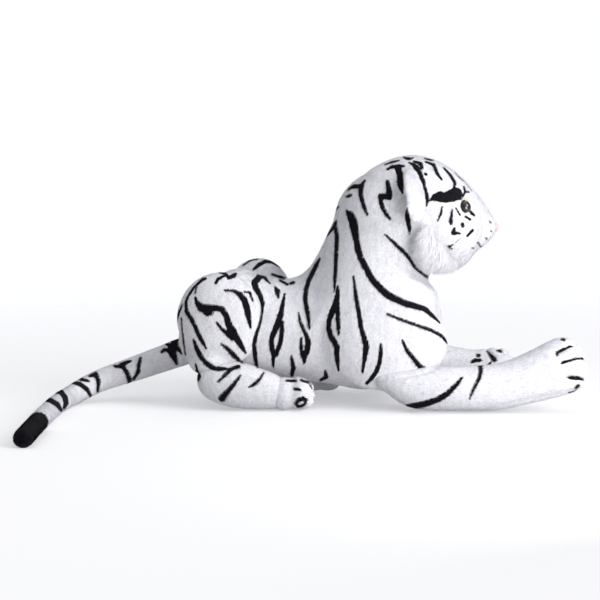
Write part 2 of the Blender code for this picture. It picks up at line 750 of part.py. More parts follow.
# Cheek ruffs: points as shares of the head's length, half width and height, then thickness
ruff_shares = (
    (0.190, 1.06, 0.06, 0.70),
    (0.165, 1.10, -0.11, 1.20),
    (0.215, 1.05, -0.27, 1.40),
    (0.325, 0.88, -0.39, 1.25),
    (0.450, 0.62, -0.46, 0.90),
    (0.540, 0.38, -0.49, 0.55),
)


def cheek_ruff(side, label):
    """Long pile sewn round the back of the cheek, a crescent cut by the head and kept off the neck."""
    path = [Vector((ahead * head_length, side * aside * head_half_width, up * head_height))
            for ahead, aside, up, size in ruff_shares]
    rings = []
    for number, row in enumerate(ruff_shares):
        before = path[max(number - 1, 0)]
        after = path[min(number + 1, len(path) - 1)]
        way = (after - before).normalized()
        across = Vector((1.0, 0.0, 0.0)) - way * way.x
        across = across.normalized() * ruff_radius * row[3]
        rings.append((path[number], across, way.cross(across).normalized() * ruff_radius * row[3] * 0.66))
    first = path[0] + (path[0] - path[1]).normalized() * ruff_radius * 0.5
    last = path[-1] + (path[-1] - path[-2]).normalized() * ruff_radius * 0.5
    ruff = loft(f"cheek_ruff_{label}", rings, (first, last), head_axis, long_pile, 0.0, 10)
    cut(ruff, ear_flap(f"ear_room_{label}", side, None, seam_gap))
    cut(ruff, head_room)
    cut(ruff, ear_cup)
    turned_out = Matrix.Rotation(-head_drop, 4, "Y") @ Matrix.Rotation(-head_turn - side * head_swing, 4, "Z")
    throat = make_box(f"throat_{label}", (-reach, -reach, -reach), (reach, reach, seam_gap - throat_clear),
                      head_axis, turned_out @ throat_turn)
    cut(ruff, throat)


cheek_ruff(-1.0, "right")
cheek_ruff(1.0, "left")
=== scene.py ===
# Plush tiger: its looks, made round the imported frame.
import math
from itertools import count

import bmesh
import bpy
import numpy as np
from mathutils import Matrix, Vector
from mathutils.bvhtree import BVHTree


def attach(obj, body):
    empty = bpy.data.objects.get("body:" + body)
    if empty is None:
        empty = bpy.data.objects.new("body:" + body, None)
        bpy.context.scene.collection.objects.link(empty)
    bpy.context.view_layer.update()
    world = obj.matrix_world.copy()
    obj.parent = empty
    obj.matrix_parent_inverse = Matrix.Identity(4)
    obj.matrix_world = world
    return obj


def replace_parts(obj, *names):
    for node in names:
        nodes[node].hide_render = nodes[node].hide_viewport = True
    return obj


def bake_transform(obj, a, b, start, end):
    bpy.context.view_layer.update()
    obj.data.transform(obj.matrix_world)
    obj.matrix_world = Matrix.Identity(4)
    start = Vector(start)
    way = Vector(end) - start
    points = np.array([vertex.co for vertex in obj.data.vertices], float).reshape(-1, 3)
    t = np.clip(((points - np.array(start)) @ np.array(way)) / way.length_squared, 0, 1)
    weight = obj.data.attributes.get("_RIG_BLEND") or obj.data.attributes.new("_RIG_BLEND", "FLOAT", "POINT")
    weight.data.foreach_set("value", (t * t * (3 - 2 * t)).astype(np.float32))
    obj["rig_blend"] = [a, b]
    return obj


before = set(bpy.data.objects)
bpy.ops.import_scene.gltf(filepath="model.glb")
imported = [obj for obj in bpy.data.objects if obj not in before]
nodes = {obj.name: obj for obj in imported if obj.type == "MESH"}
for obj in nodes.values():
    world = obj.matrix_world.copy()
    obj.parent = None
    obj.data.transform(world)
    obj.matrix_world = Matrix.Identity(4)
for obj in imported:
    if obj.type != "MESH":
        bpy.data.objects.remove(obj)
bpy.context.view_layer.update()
sideOf = {"right": -1.0, "left": 1.0}      # the photo shows the right side
still = (0.0, 0.0, 0.0)

# The tiger's own zero in the frame, its neck's centre and the way its head is turned
middle = np.array((-0.0158, 0.0818, 0.0))
neckPoint = np.array((0.095, 0.0, 0.182))
headTurn = math.radians(11.0)
headPlace = Matrix.Translation(Vector(middle + neckPoint)) @ Matrix.Rotation(headTurn, 4, "Z")
headSpin, headZero = np.array(headPlace)[:3, :3], np.array(headPlace)[:3, 3]

# The view: straight at the right side, a little from above
view = {"away": 1.7, "rise": math.radians(6.0), "lens": 97.14, "height": 0.1067}
viewUp, viewAlong = math.sin(view["rise"]), math.cos(view["rise"])

# Stripes, printed dark lines and stitches, and one strip of painted shade by the ear, as they are seen from
# the right side in the upright plane through the tiger's middle. Each is a line of (ahead, up, width) in
# millimetres from that plane's centre.
stripes = {
    "body": (
        ((38.5, 83.6, 1.1), (37.1, 79.5, 3.3), (39.2, 67.0, 3.8), (37.1, 22.8, 3.0), (36.4, 8.8, 0.7)),
        ((36.8, 78.0, 2.5), (29.0, 69.2, 2.2), (27.5, 67.0, 0.8)),
        ((49.2, 94.6, 1.5), (52.6, 90.5, 6.6), (55.9, 83.2, 8.8), (59.9, 61.1, 5.6), (60.8, 52.5, 5.6)),
        ((60.6, 56.8, 5.9), (63.8, 44.5, 5.6), (75.4, 23.0, 5.9), (83.1, 13.8, 6.5), (92.3, 5.3, 7.0),
         (110.8, -3.3, 6.5), (130.8, -9.1, 4.9), (143.1, -20.2, 1.9), (146.5, -24.0, 0.9)),
        ((68.5, 125.9, 1.1), (65.8, 121.5, 3.7), (64.1, 115.6, 4.5), (64.1, 109.7, 4.1), (67.7, 98.0, 3.4),
         (69.5, 93.6, 2.9), (70.9, 90.2, 1.2)),
        ((62.9, 119.3, 4.1), (57.0, 119.3, 3.7), (53.3, 117.8, 1.8), (50.7, 115.3, 0.7)),
        ((49.7, 108.8, 1.8), (52.6, 110.0, 2.6), (54.4, 110.8, 1.2)),
        ((38.2, 96.1, 1.6), (40.4, 98.3, 1.6)),
        ((69.9, 134.4, 1.1), (73.2, 135.5, 1.1)),
        ((89.5, 69.1, 1.4), (98.3, 61.1, 2.6), (110.0, 50.8, 2.6)),
        ((99.2, 60.0, 2.7), (113.1, 46.8, 3.0), (121.6, 33.7, 2.4), (129.3, 27.6, 2.2), (136.2, 23.3, 1.6)),
        ((21.1, 43.8, 1.3), (17.5, 36.9, 3.7), (9.1, 19.8, 4.0), (6.8, 10.6, 4.0), (5.7, 1.4, 4.0),
         (8.8, -17.1, 3.7), (10.2, -30.1, 0.9)),
        ((39.9, 14.5, 1.6), (39.6, 6.0, 4.3), (38.3, -2.4, 5.6), (33.7, -12.5, 5.3), (30.9, -20.9, 4.6),
         (30.3, -28.7, 4.6), (31.9, -35.6, 4.9), (39.0, -48.7, 5.3), (38.6, -55.7, 4.9), (39.5, -63.3, 4.0),
         (40.4, -73.3, 1.3)),
        ((39.3, -3.3, 4.6), (40.4, -24.8, 4.0), (40.8, -35.9, 1.6)),
        ((56.3, 25.3, 1.3), (58.7, 6.0, 3.4), (64.6, -29.4, 4.3), (69.9, -47.9, 5.6), (65.8, -74.9, 1.9)),
        ((85.1, -45.6, 1.6), (85.1, -54.1, 3.4), (83.8, -64.9, 4.0), (80.7, -74.1, 4.0), (75.4, -81.8, 3.7),
         (70.1, -87.0, 2.4)),
        ((107.7, -42.5, 1.9), (112.4, -52.5, 3.4), (126.2, -69.5, 4.9), (131.6, -72.9, 4.6),
         (137.2, -72.2, 1.9)),
        ((92.0, -14.5, 1.9), (112.4, -22.5, 2.7), (136.9, -31.0, 3.0), (146.2, -35.6, 2.7),
         (150.8, -39.5, 2.2), (154.2, -44.8, 0.9)),
        ((-1.3, -13.2, 0.9), (0.6, -23.2, 2.7), (7.6, -38.6, 4.0), (8.8, -44.8, 5.3), (7.6, -52.5, 5.6),
         (4.8, -58.7, 5.3), (4.5, -66.0, 1.6)),
        ((1.4, -39.9, 1.9), (1.4, -49.5, 3.7), (3.3, -58.0, 4.6)),
        ((-15.9, 6.8, 1.3), (-19.8, -14.0, 5.3), (-23.2, -24.8, 5.9), (-27.5, -34.0, 4.9),
         (-30.0, -43.3, 4.3), (-29.1, -51.8, 4.6), (-26.4, -58.0, 4.0)),
        ((-18.6, -23.2, 3.7), (-18.9, -34.0, 4.0), (-20.5, -44.8, 4.0), (-24.8, -56.4, 4.3)),
        ((-28.1, -57.1, 3.7), (-27.8, -69.7, 1.6)),
        ((-9.0, -58.7, 1.9), (-6.6, -70.2, 4.6), (-7.9, -77.9, 3.0)),
        ((26.8, -74.1, 1.9), (27.9, -80.2, 4.0), (22.5, -83.4, 2.2)),
        ((-26.0, 13.4, 1.9), (-23.5, 9.1, 5.3), (-22.3, 2.6, 1.3)),
        ((-25.5, 26.0, 2.2), (-16.8, 22.7, 2.2)),
        ((-20.9, 20.7, 1.6), (-13.2, 16.5, 2.2)),
        ((-9.3, 17.5, 2.4), (-6.3, 18.4, 2.4)),
        ((-109.9, 2.7, 1.6), (-107.7, -2.7, 4.4), (-102.8, -7.8, 8.4), (-96.2, -9.1, 9.2),
         (-89.6, -7.8, 6.2), (-81.8, -9.3, 5.4), (-77.4, -16.1, 5.4), (-74.7, -24.9, 6.4),
         (-70.8, -32.7, 7.6), (-61.3, -48.1, 4.8), (-57.2, -54.9, 1.8)),
        ((-101.6, -10.5, 4.4), (-97.2, -14.1, 4.8), (-92.1, -13.9, 1.2)),
        ((-87.4, -23.2, 1.6), (-82.8, -29.3, 3.0), (-70.8, -38.6, 6.6)),
        ((-79.1, 10.5, 1.4), (-69.6, 10.0, 2.4), (-63.0, 6.1, 5.0), (-58.6, 0.5, 6.0), (-55.9, -7.1, 6.0),
         (-54.7, -14.9, 5.6), (-51.8, -29.1, 1.2)),
        ((-58.6, 9.0, 1.2), (-53.0, 8.3, 2.0), (-49.6, -0.7, 1.2)),
        ((-98.9, 22.9, 1.4), (-101.6, 21.8, 3.0), (-106.2, 18.1, 1.8), (-111.6, 12.5, 1.8),
         (-117.4, 3.9, 1.6), (-119.7, -2.7, 1.8), (-118.9, -11.7, 3.6), (-113.8, -19.3, 3.8),
         (-104.5, -39.3, 4.0), (-98.4, -50.5, 1.4)),
        ((-108.4, 13.9, 0.8), (-109.9, 7.8, 0.8)),
        ((-111.6, -41.3, 1.6), (-108.9, -49.1, 3.8), (-104.5, -58.1, 4.4), (-98.4, -65.7, 4.8),
         (-91.8, -70.5, 5.4), (-85.2, -72.3, 4.0), (-76.2, -72.1, 1.6)),
        ((-82.3, -45.4, 1.6), (-76.2, -50.3, 3.8), (-69.6, -56.9, 4.4), (-61.3, -65.4, 2.2)),
        ((-124.3, -18.3, 0.7), (-123.8, -30.3, 0.7), (-120.4, -56.9, 0.9)),
        ((-123.3, -4.4, 0.8), (-128.0, -15.4, 1.6), (-131.4, -28.8, 1.4), (-129.9, -42.7, 0.8)),
        ((-109.4, -66.9, 1.2), (-108.4, -73.5, 2.4), (-106.2, -80.1, 3.8), (-106.7, -83.7, 1.6)),
        ((-38.1, 26.6, 4.0), (-43.2, 23.5, 5.6), (-47.8, 18.3, 6.4), (-46.2, 12.2, 5.6), (-42.0, 5.6, 4.4),
         (-39.1, -2.7, 3.8), (-40.1, -13.9, 2.2), (-42.3, -24.9, 2.2), (-46.2, -35.9, 3.0),
         (-48.1, -46.9, 3.8), (-46.9, -58.1, 4.0), (-45.0, -70.5, 1.8)),
        ((-39.3, 25.9, 3.4), (-31.3, 17.4, 0.8)),
        ((-84.0, 29.1, 1.4), (-78.4, 27.6, 2.0), (-74.7, 23.5, 3.0), (-69.6, 25.7, 3.8),
         (-67.2, 27.6, 1.8)),
        ((-88.4, 18.1, 2.0), (-86.0, 22.2, 2.6), (-79.6, 25.4, 1.8)),
    ),
    "shin": (
        ((-64.7, -69.9, 3.0), (-71.8, -71.8, 3.4), (-78.4, -77.9, 3.4), (-86.2, -85.4, 1.8)),
        ((-62.8, -78.9, 1.2), (-69.6, -87.9, 4.0), (-76.2, -95.7, 4.6), (-82.3, -102.5, 7.2)),
        ((-38.4, -76.2, 0.8), (-43.2, -83.5, 2.8), (-48.6, -88.4, 3.0), (-53.9, -91.1, 1.2)),
    ),
    "farHaunch": (
        ((-48.6, 32.3, 1.4), (-43.2, 37.1, 3.4), (-36.4, 40.6, 2.8), (-29.8, 40.1, 1.8),
         (-21.0, 34.9, 1.4)),
        ((-59.6, 36.3, 0.6), (-52.0, 41.5, 0.8), (-44.2, 43.2, 0.6)),
        ((-29.4, 27.3, 1.6), (-16.3, 22.7, 2.7)),
    ),
    "tail": (
        ((-128.6, -38.0, 5.0), (-133.0, -51.0, 8.0), (-131.0, -60.0, 4.0), (-128.6, -66.2, 1.2)),
        ((-136.5, -38.1, 2.9), (-132.6, -43.7, 5.3), (-128.2, -50.3, 4.3), (-123.6, -56.1, 2.1)),
        ((-140.4, -44.7, 2.5), (-135.3, -49.1, 4.3)),
        ((-145.0, -54.9, 2.3), (-141.2, -52.0, 3.1), (-137.0, -53.0, 2.5)),
        ((-136.5, -53.0, 5.3), (-132.6, -58.1, 6.7), (-129.0, -66.9, 2.3)),
        ((-167.0, -60.9, 2.5), (-169.1, -69.3, 3.6), (-169.1, -74.6, 3.6), (-174.3, -83.0, 2.0)),
        ((-194.3, -69.3, 2.0), (-184.8, -70.4, 4.1), (-180.6, -77.7, 4.1), (-178.5, -84.0, 4.1),
         (-179.6, -90.3, 2.0)),
        ((-186.9, -67.7, 3.6), (-177.5, -64.1, 2.0)),
        ((-220.5, -79.8, 2.0), (-214.2, -77.7, 4.1), (-211.1, -85.1, 4.1), (-212.1, -95.6, 2.0)),
        ((-230.0, -83.0, 3.0), (-221.6, -85.1, 2.0)),
        ((-240.5, -86.1, 2.0), (-231.0, -88.2, 4.1), (-223.7, -93.5, 4.1), (-219.5, -100.8, 2.0)),
        ((-259.4, -97.7, 2.0), (-252.0, -95.6, 4.1), (-246.8, -101.9, 5.1), (-245.7, -108.2, 4.6),
         (-247.8, -113.4, 2.0)),
        ((-272.0, -105.0, 2.0), (-262.5, -105.0, 4.1), (-255.2, -109.2, 4.6), (-251.0, -115.5, 2.5)),
    ),
    "foreleg": (
        ((169.8, -81.5, 1.6), (163.2, -89.5, 4.0), (153.9, -98.7, 5.3), (143.1, -104.9, 5.6),
         (130.8, -108.8, 5.9), (118.4, -111.1, 5.6), (107.7, -112.6, 4.0), (101.5, -112.6, 1.3)),
        ((178.6, -68.3, 0.9), (182.0, -64.7, 3.3), (186.6, -65.0, 4.1), (188.8, -69.4, 4.3),
         (189.2, -75.2, 3.5), (187.7, -82.0, 3.3), (180.5, -95.6, 2.5), (177.9, -103.5, 0.9)),
        ((152.4, -118.5, 0.7), (155.3, -118.5, 1.4), (157.7, -118.5, 0.7)),
        ((269.5, -57.8, 1.4), (268.9, -55.5, 2.7), (281.0, -49.5, 1.9), (285.6, -48.5, 0.7)),
        ((274.7, -65.9, 2.5), (288.8, -61.6, 1.9), (295.6, -61.1, 1.2), (299.3, -63.1, 0.6)),
        ((280.3, -81.2, 1.4), (284.9, -81.5, 3.3), (290.8, -82.0, 3.7), (297.1, -83.6, 0.9)),
        ((289.0, -92.2, 2.3), (291.7, -89.6, 2.3)),
        ((274.4, -41.5, 1.9), (277.1, -42.0, 1.9)),
        ((281.9, -97.3, 0.6), (290.5, -94.6, 0.6)),
    ),
    "farForeleg": (
        ((186.4, -58.2, 3.3), (187.4, -58.4, 2.9)),
        ((196.0, -54.1, 0.9), (199.9, -58.7, 3.7), (202.9, -62.6, 4.6), (205.5, -63.5, 1.6)),
        ((206.8, -52.7, 1.8), (210.6, -54.3, 1.9)),
        ((200.2, -65.5, 0.9), (196.7, -69.2, 2.1)),
        ((180.0, -65.0, 2.6), (184.0, -63.4, 3.4), (188.5, -63.6, 3.0)),
    ),
    "hindPaw": (
        ((-14.3, -84.8, 1.6), (-4.7, -85.2, 1.9)),
        ((0.6, -84.4, 1.9), (7.9, -86.4, 1.9)),
        ((8.8, -87.2, 0.7), (12.2, -92.9, 0.7)),
        ((-6.3, -93.1, 2.2), (-0.9, -94.1, 2.2)),
        ((-2.9, -111.4, 2.2), (-4.7, -108.3, 3.0), (-1.7, -104.6, 4.0), (2.6, -103.6, 4.0),
         (5.7, -104.9, 3.0), (5.1, -108.3, 2.4), (1.7, -111.1, 2.2), (-2.9, -111.6, 1.9)),
    ),
    "headBack": (
        ((92.4, 137.3, 1.9), (96.8, 139.8, 2.6), (102.7, 140.3, 3.4), (109.2, 140.7, 1.9)),
        ((103.0, 138.8, 6.6), (105.2, 131.8, 5.9), (105.9, 120.8, 6.5), (107.8, 111.8, 0.7)),
        # The next line is painted shade: the dark strip where the ear shades the neck by its lower back edge
        ((113.0, 96.5, 0.7), (112.7, 90.5, 3.7), (113.4, 84.6, 4.8), (115.2, 75.1, 2.9),
         (115.3, 70.6, 0.7)),
        ((92.0, 124.4, 2.9), (93.9, 112.7, 5.9), (93.9, 108.3, 5.6)),
        ((93.9, 109.1, 5.6), (85.4, 109.0, 6.2)),
        ((84.9, 108.6, 5.1), (85.4, 102.4, 4.1), (87.2, 96.5, 3.7), (90.9, 90.5, 3.4), (95.3, 85.1, 1.5)),
    ),
    "headTop": (
        ((89.5, 142.5, 0.8), (98.3, 145.1, 1.9), (104.2, 146.6, 0.6)),
        ((107.8, 150.4, 0.6), (112.2, 148.8, 2.9), (116.7, 148.4, 2.2), (119.1, 149.6, 0.6)),
    ),
    "face": (
        ((114.5, 144.4, 0.6), (120.3, 141.4, 3.7), (123.3, 136.9, 6.3), (129.9, 123.0, 4.0)),
        ((128.6, 125.0, 4.0), (134.4, 105.0, 3.4), (133.4, 98.7, 1.1)),
        ((119.7, 145.4, 1.3), (127.1, 142.8, 3.4), (128.1, 138.6, 3.2)),
        ((131.9, 132.3, 2.0), (132.5, 131.7, 2.0)),
        ((131.3, 148.6, 1.3), (137.6, 147.0, 2.1), (142.8, 147.0, 0.8)),
        ((132.3, 144.9, 1.1), (140.7, 141.8, 2.7), (143.9, 133.4, 2.7), (149.1, 126.0, 1.1)),
        ((151.2, 138.6, 1.1), (158.6, 130.2, 2.3), (162.8, 122.9, 2.5), (161.7, 116.6, 1.3)),
        ((160.1, 139.1, 0.7), (164.9, 131.3, 0.9), (171.2, 125.0, 0.7)),
        ((169.1, 129.2, 0.6), (180.6, 114.5, 0.6)),
        ((172.2, 118.7, 1.1), (173.6, 113.4, 1.7), (170.6, 108.7, 1.3)),
        ((173.6, 113.4, 1.5), (177.5, 113.2, 0.8)),
        ((149.6, 97.7, 1.3), (148.1, 90.3, 1.9), (144.9, 83.0, 0.8)),
        ((160.1, 95.0, 0.8), (158.6, 82.4, 3.8), (158.8, 80.3, 2.5)),
        ((163.8, 96.6, 0.6), (168.0, 89.3, 1.1)),
        ((173.8, 87.7, 1.3), (178.5, 84.5, 1.9)),
        ((178.0, 94.0, 1.1), (180.6, 90.8, 2.7), (183.2, 88.7, 1.1)),
        ((170.7, 79.8, 2.7), (171.2, 77.7, 2.7)),
        ((162.3, 75.1, 2.1), (161.3, 70.6, 4.2), (167.8, 69.9, 1.5)),
        ((181.4, 73.2, 2.1), (175.9, 67.4, 1.7)),
        ((168.8, 64.6, -0.6), (163.8, 61.0, -0.4), (157.0, 55.1, 0.7)),
        ((156.5, 56.7, 1.1), (159.6, 53.6, 1.1)),
    ),
    "brow": (
        ((137.0, 104.5, 1.1), (141.8, 107.6, 6.8), (147.0, 108.4, 10.5), (153.3, 107.5, 10.1),
         (159.6, 109.6, 12.6), (163.6, 111.2, 13.0), (166.2, 110.0, 9.0), (168.6, 106.5, 3.0)),
    ),
    "toes": (
        ((267.8, -57.2, 0.5), (284.6, -48.3, 0.5), (296.0, -42.0, 0.5)),
        ((274.0, -66.2, 0.5), (288.8, -60.9, 0.5), (302.0, -62.0, 0.5)),
        ((279.3, -80.9, 0.5), (295.0, -82.4, 0.5), (304.0, -84.0, 0.5)),
    ),
    "farToes": (
        ((196.0, -53.0, 0.5), (203.5, -60.0, 0.5)),
        ((207.5, -51.0, 0.5), (213.0, -56.0, 0.5)),
        ((216.0, -55.0, 0.5), (224.0, -58.0, 0.5)),
    ),
    "hindToes": (
        ((1.0, -80.5, 0.5), (14.0, -86.0, 0.5)),
        ((5.0, -93.5, 0.5), (18.0, -95.0, 0.5)),
        ((8.0, -103.0, 0.5), (18.0, -104.0, 0.5)),
    ),
    "seam": (
        ((73.5, -87.2, 0.3), (101.9, -83.0, 0.3), (116.6, -79.8, 0.3), (131.3, -76.7, 0.3),
         (146.0, -69.3, 0.3), (159.6, -68.3, 0.3)),
        ((147.0, -119.0, 0.2), (195.0, -115.5, 0.2), (230.0, -106.0, 0.2), (290.9, -94.5, 0.3)),
    ),
    "shinSeam": (
        ((-50.8, -109.9, 0.3), (-26.6, -109.9, 0.3)),
    ),
    "whisker": (
        ((199.5, 81.9, 1.5), (200.1, 81.3, 1.5)),
        ((200.6, 72.5, 1.5), (201.0, 72.0, 1.5)),
        ((195.3, 65.1, 1.9), (195.9, 64.5, 1.9)),
        ((186.9, 59.9, 2.1), (188.0, 58.8, 2.3)),
        ((189.0, 56.7, 1.7), (190.1, 56.3, 1.7)),
        ((181.2, 54.6, 1.5), (182.1, 54.4, 1.7)),
    ),
}


def seen(points):
    # Where points of the frame show in the upright plane through the tiger's middle, in millimetres
    x, y, z = (points - middle - np.array((0.0, 0.0, view["height"]))).T
    depth = (view["away"] + y * viewAlong - z * viewUp) / view["away"]
    return np.stack((x, y * viewUp + z * viewAlong), axis=1) / depth[:, None] * 1000.0


def lineDistance(flat, names, bold=1.05):
    # Distance to the edge of the nearest of the named lines, in metres, under zero inside one.
    # Bold is added to every width, in millimetres
    best = np.full(len(flat), 60.0)
    for name in names:
        for line in stripes[name]:
            for (ax, ay, aw), (bx, by, bw) in zip(line, line[1:]):
                start, along = np.array((ax, ay)), np.array((bx - ax, by - ay))
                part = np.clip((flat - start) @ along / (along @ along + 1e-9), 0.0, 1.0)
                off = np.linalg.norm(flat - start - part[:, None] * along, axis=1)
                best = np.minimum(best, off - (aw + (bw - aw) * part + bold) / 2.0)
    return best / 1000.0


def onNearSide(local):
    # The far, left half laid on the near half
    return np.stack((local[:, 0], -np.abs(local[:, 1]), local[:, 2]), axis=1)


def mirrored(points, shift):
    # The body's left half as its right half is seen; what lies further forward by the shift is moved back
    return onNearSide(points - middle - np.array(shift)) + middle


def mirroredHead(points, zero=headZero):
    # The same for the head, which is turned; with no zero, for directions
    return onNearSide((points - zero) @ headSpin) @ headSpin.T + zero


def ramp(value, over):
    # From nothing at zero to one, over a length
    return np.clip(value / over, 0.0, 1.0)


# Mesh helpers

def vertices(thing):
    flat = np.empty(len(thing.data.vertices) * 3, np.float32)
    thing.data.vertices.foreach_get("co", flat)
    return flat.reshape(-1, 3).astype(float)


def normals(thing):
    flat = np.empty(len(thing.data.vertices) * 3, np.float32)
    thing.data.vertex_normals.foreach_get("vector", flat)
    return flat.reshape(-1, 3).astype(float)


def setVertices(thing, points):
    thing.data.vertices.foreach_set("co", points.astype(np.float32).ravel())
    thing.data.update()


def setValues(thing, name, values, kind="FLOAT"):
    attribute = thing.data.attributes.get(name) or thing.data.attributes.new(name, kind, "POINT")
    attribute.data.foreach_set("vector" if kind == "FLOAT_VECTOR" else "value",
                               np.asarray(values, np.float32).ravel())


def values(thing, name):
    flat = np.empty(len(thing.data.vertices), np.float32)
    thing.data.attributes[name].data.foreach_get("value", flat)
    return flat.astype(float)


def addObject(name, data):
    made = bpy.data.objects.new(name, data)
    bpy.context.scene.collection.objects.link(made)
    return made


def fromShape(name, shape):
    # A finished bmesh as an object
    mesh = bpy.data.meshes.new(name)
    shape.to_mesh(mesh)
    shape.free()
    return addObject(name, mesh)


def fromPoints(name, points, faces):
    # A closed smooth form, with its faces turned outwards
    mesh = bpy.data.meshes.new(name)
    mesh.from_pydata([tuple(point) for point in points], [], faces)
    shape = bmesh.new()
    shape.from_mesh(mesh)
    bmesh.ops.recalc_face_normals(shape, faces=shape.faces)
    bpy.data.meshes.remove(mesh)
    made = fromShape(name, shape)
    made.data.shade_smooth()
    return made


def tubeFaces(rows, sides):
    # The four-sided faces between the rings of a tube
    return [(row * sides + step, row * sides + (step + 1) % sides,
             (row + 1) * sides + (step + 1) % sides, (row + 1) * sides + step)
            for row in range(rows - 1) for step in range(sides)]


def applied(thing):
    # The object with its modifiers worked into a mesh of its own
    graph = bpy.context.evaluated_depsgraph_get()
    mesh = bpy.data.meshes.new_from_object(thing.evaluated_get(graph))
    thing.modifiers.clear()
    old = thing.data
    thing.data = mesh
    bpy.data.meshes.remove(old)
    return thing


def remove(*things):
    for thing in things:
        bpy.data.objects.remove(thing, do_unlink=True)


def coat(thing, material):
    thing.data.materials.clear()
    thing.data.materials.append(material)


bagSides = 20
roundLevels = 2


def bag(name, rows, ends):
    # A closed stuffed form round rings of (centre, up, side) half axes, between two end points
    shape = bmesh.new()
    turn = 2.0 * math.pi / bagSides
    swell = 3.0 / (2.0 + math.cos(turn))      # what the rounding takes off is added first
    loops = []
    for centre, up, side in rows:
        loops.append([shape.verts.new(Vector(centre) + swell * (Vector(up) * math.cos(turn * step)
                                                               + Vector(side) * math.sin(turn * step)))
                      for step in range(bagSides)])
    for near, far in zip(loops, loops[1:]):
        for step in range(bagSides):
            after = (step + 1) % bagSides
            shape.faces.new((near[step], near[after], far[after], far[step]))
    for loop, end in ((loops[0], ends[0]), (loops[-1], ends[1])):
        pole = shape.verts.new(Vector(end))
        for step in range(bagSides):
            shape.faces.new((loop[step], loop[(step + 1) % bagSides], pole))
    bmesh.ops.recalc_face_normals(shape, faces=shape.faces)
    made = fromShape(name, shape)
    made.modifiers.new("round", "SUBSURF").levels = roundLevels
    return applied(made)


def ball(name, centre, half):
    shape = bmesh.new()
    bmesh.ops.create_icosphere(shape, subdivisions=4, radius=1.0)
    bmesh.ops.scale(shape, verts=shape.verts, vec=half)
    bmesh.ops.translate(shape, verts=shape.verts, vec=centre)
    return fromShape(name, shape)


def nodeCopy(name, node):
    return addObject(name, nodes[node].data.copy())


def joined(name, things):
    shape = bmesh.new()
    for thing in things:
        shape.from_mesh(thing.data)
    remove(*things)
    return fromShape(name, shape)


def smoothed(thing, times, hold=1.0):
    # Evens the surface out; with hold near one it keeps its volume
    mesh = thing.data
    edges = np.empty(len(mesh.edges) * 2, np.int64)
    mesh.edges.foreach_get("vertices", edges)
    a, b = edges.reshape(-1, 2).T
    size = len(mesh.vertices)
    share = np.bincount(a, minlength=size) + np.bincount(b, minlength=size)
    points = vertices(thing)

    def step(points, amount):
        total = np.stack([np.bincount(a, points[b, k], size) + np.bincount(b, points[a, k], size)
                          for k in range(3)], axis=1)
        return points + amount * (total / share[:, None] - points)

    for turn in range(times):
        points = step(points, 0.5)
        points = step(points, -0.52 * hold)
    setVertices(thing, points)


stuffing = {"pressure": 4.0, "steps": 14, "shrink": 0.0012, "quality": 5, "mass": 0.12,
            "stretch": 12.0, "shear": 4.0, "bend": 0.4}


def stuffed(thing, cap):
    # The cover is blown out by its filling as cloth, and no point moves further than the cap
    before = vertices(thing)
    setVertices(thing, before - normals(thing) * stuffing["shrink"])
    cloth = thing.modifiers.new("cover", "CLOTH")
    cloth.settings.quality = stuffing["quality"]
    cloth.settings.mass = stuffing["mass"]
    cloth.settings.tension_stiffness = stuffing["stretch"]
    cloth.settings.compression_stiffness = stuffing["stretch"]
    cloth.settings.shear_stiffness = stuffing["shear"]
    cloth.settings.bending_stiffness = stuffing["bend"]
    cloth.settings.use_pressure = True
    cloth.settings.uniform_pressure_force = stuffing["pressure"]
    cloth.settings.effector_weights.gravity = 0.0
    cloth.collision_settings.use_collision = False
    cloth.point_cache.frame_end = stuffing["steps"] + 1
    scene = bpy.context.scene
    for number in range(1, stuffing["steps"] + 1):
        scene.frame_set(number)
    applied(thing)
    scene.frame_set(1)
    moved = vertices(thing) - before
    length = np.linalg.norm(moved, axis=1)[:, None]
    setVertices(thing, before + moved * np.minimum(1.0, cap / np.maximum(length, 1e-9)))


overFloor = 0.0004
lastSmoothing = 2


def skin(name, things, voxel, smooth, levels=2, puff=0.0):
    # One smooth cover over several closed forms, which stays over the floor
    made = joined(name, things)
    remesh = made.modifiers.new("skin", "REMESH")
    remesh.mode = "VOXEL"
    remesh.voxel_size = voxel
    applied(made)
    smoothed(made, smooth)
    if puff:
        stuffed(made, puff)
    smoothed(made, lastSmoothing, 0.0)
    made.modifiers.new("round", "SUBSURF").levels = levels
    applied(made)
    points = vertices(made)
    points[:, 2] = np.maximum(points[:, 2], overFloor)
    setVertices(made, points)
    made.data.shade_smooth()
    return made


# Rings of (centre, up, side) half axes, from tables of shares of a piece's length, height and half width

def slantedRings(table, length, height, half):
    made = []
    for topX, topZ, lowX, lowZ, wide in table:
        top = np.array((topX * length, 0.0, topZ * height))
        low = np.array((lowX * length, 0.0, lowZ * height))
        made.append(((top + low) / 2.0, (top - low) / 2.0, np.array((0.0, wide * half, 0.0))))
    return made


def uprightRings(table, length, height, half):
    return [(np.array((along * length, 0.0, (low + top) / 2.0 * height)),
             np.array((0.0, 0.0, (top - low) / 2.0 * height)),
             np.array((0.0, wide * half, 0.0))) for along, low, top, wide in table]


def turned(angle):
    return np.array(Matrix.Rotation(angle, 3, "Z"))


def movedRings(made, place, angle=0.0):
    spin = turned(angle)
    return [(spin @ centre + place, spin @ up, spin @ side) for centre, up, side in made]


def inHead(thing):
    thing.data.transform(headPlace)
    return thing


# Node helpers

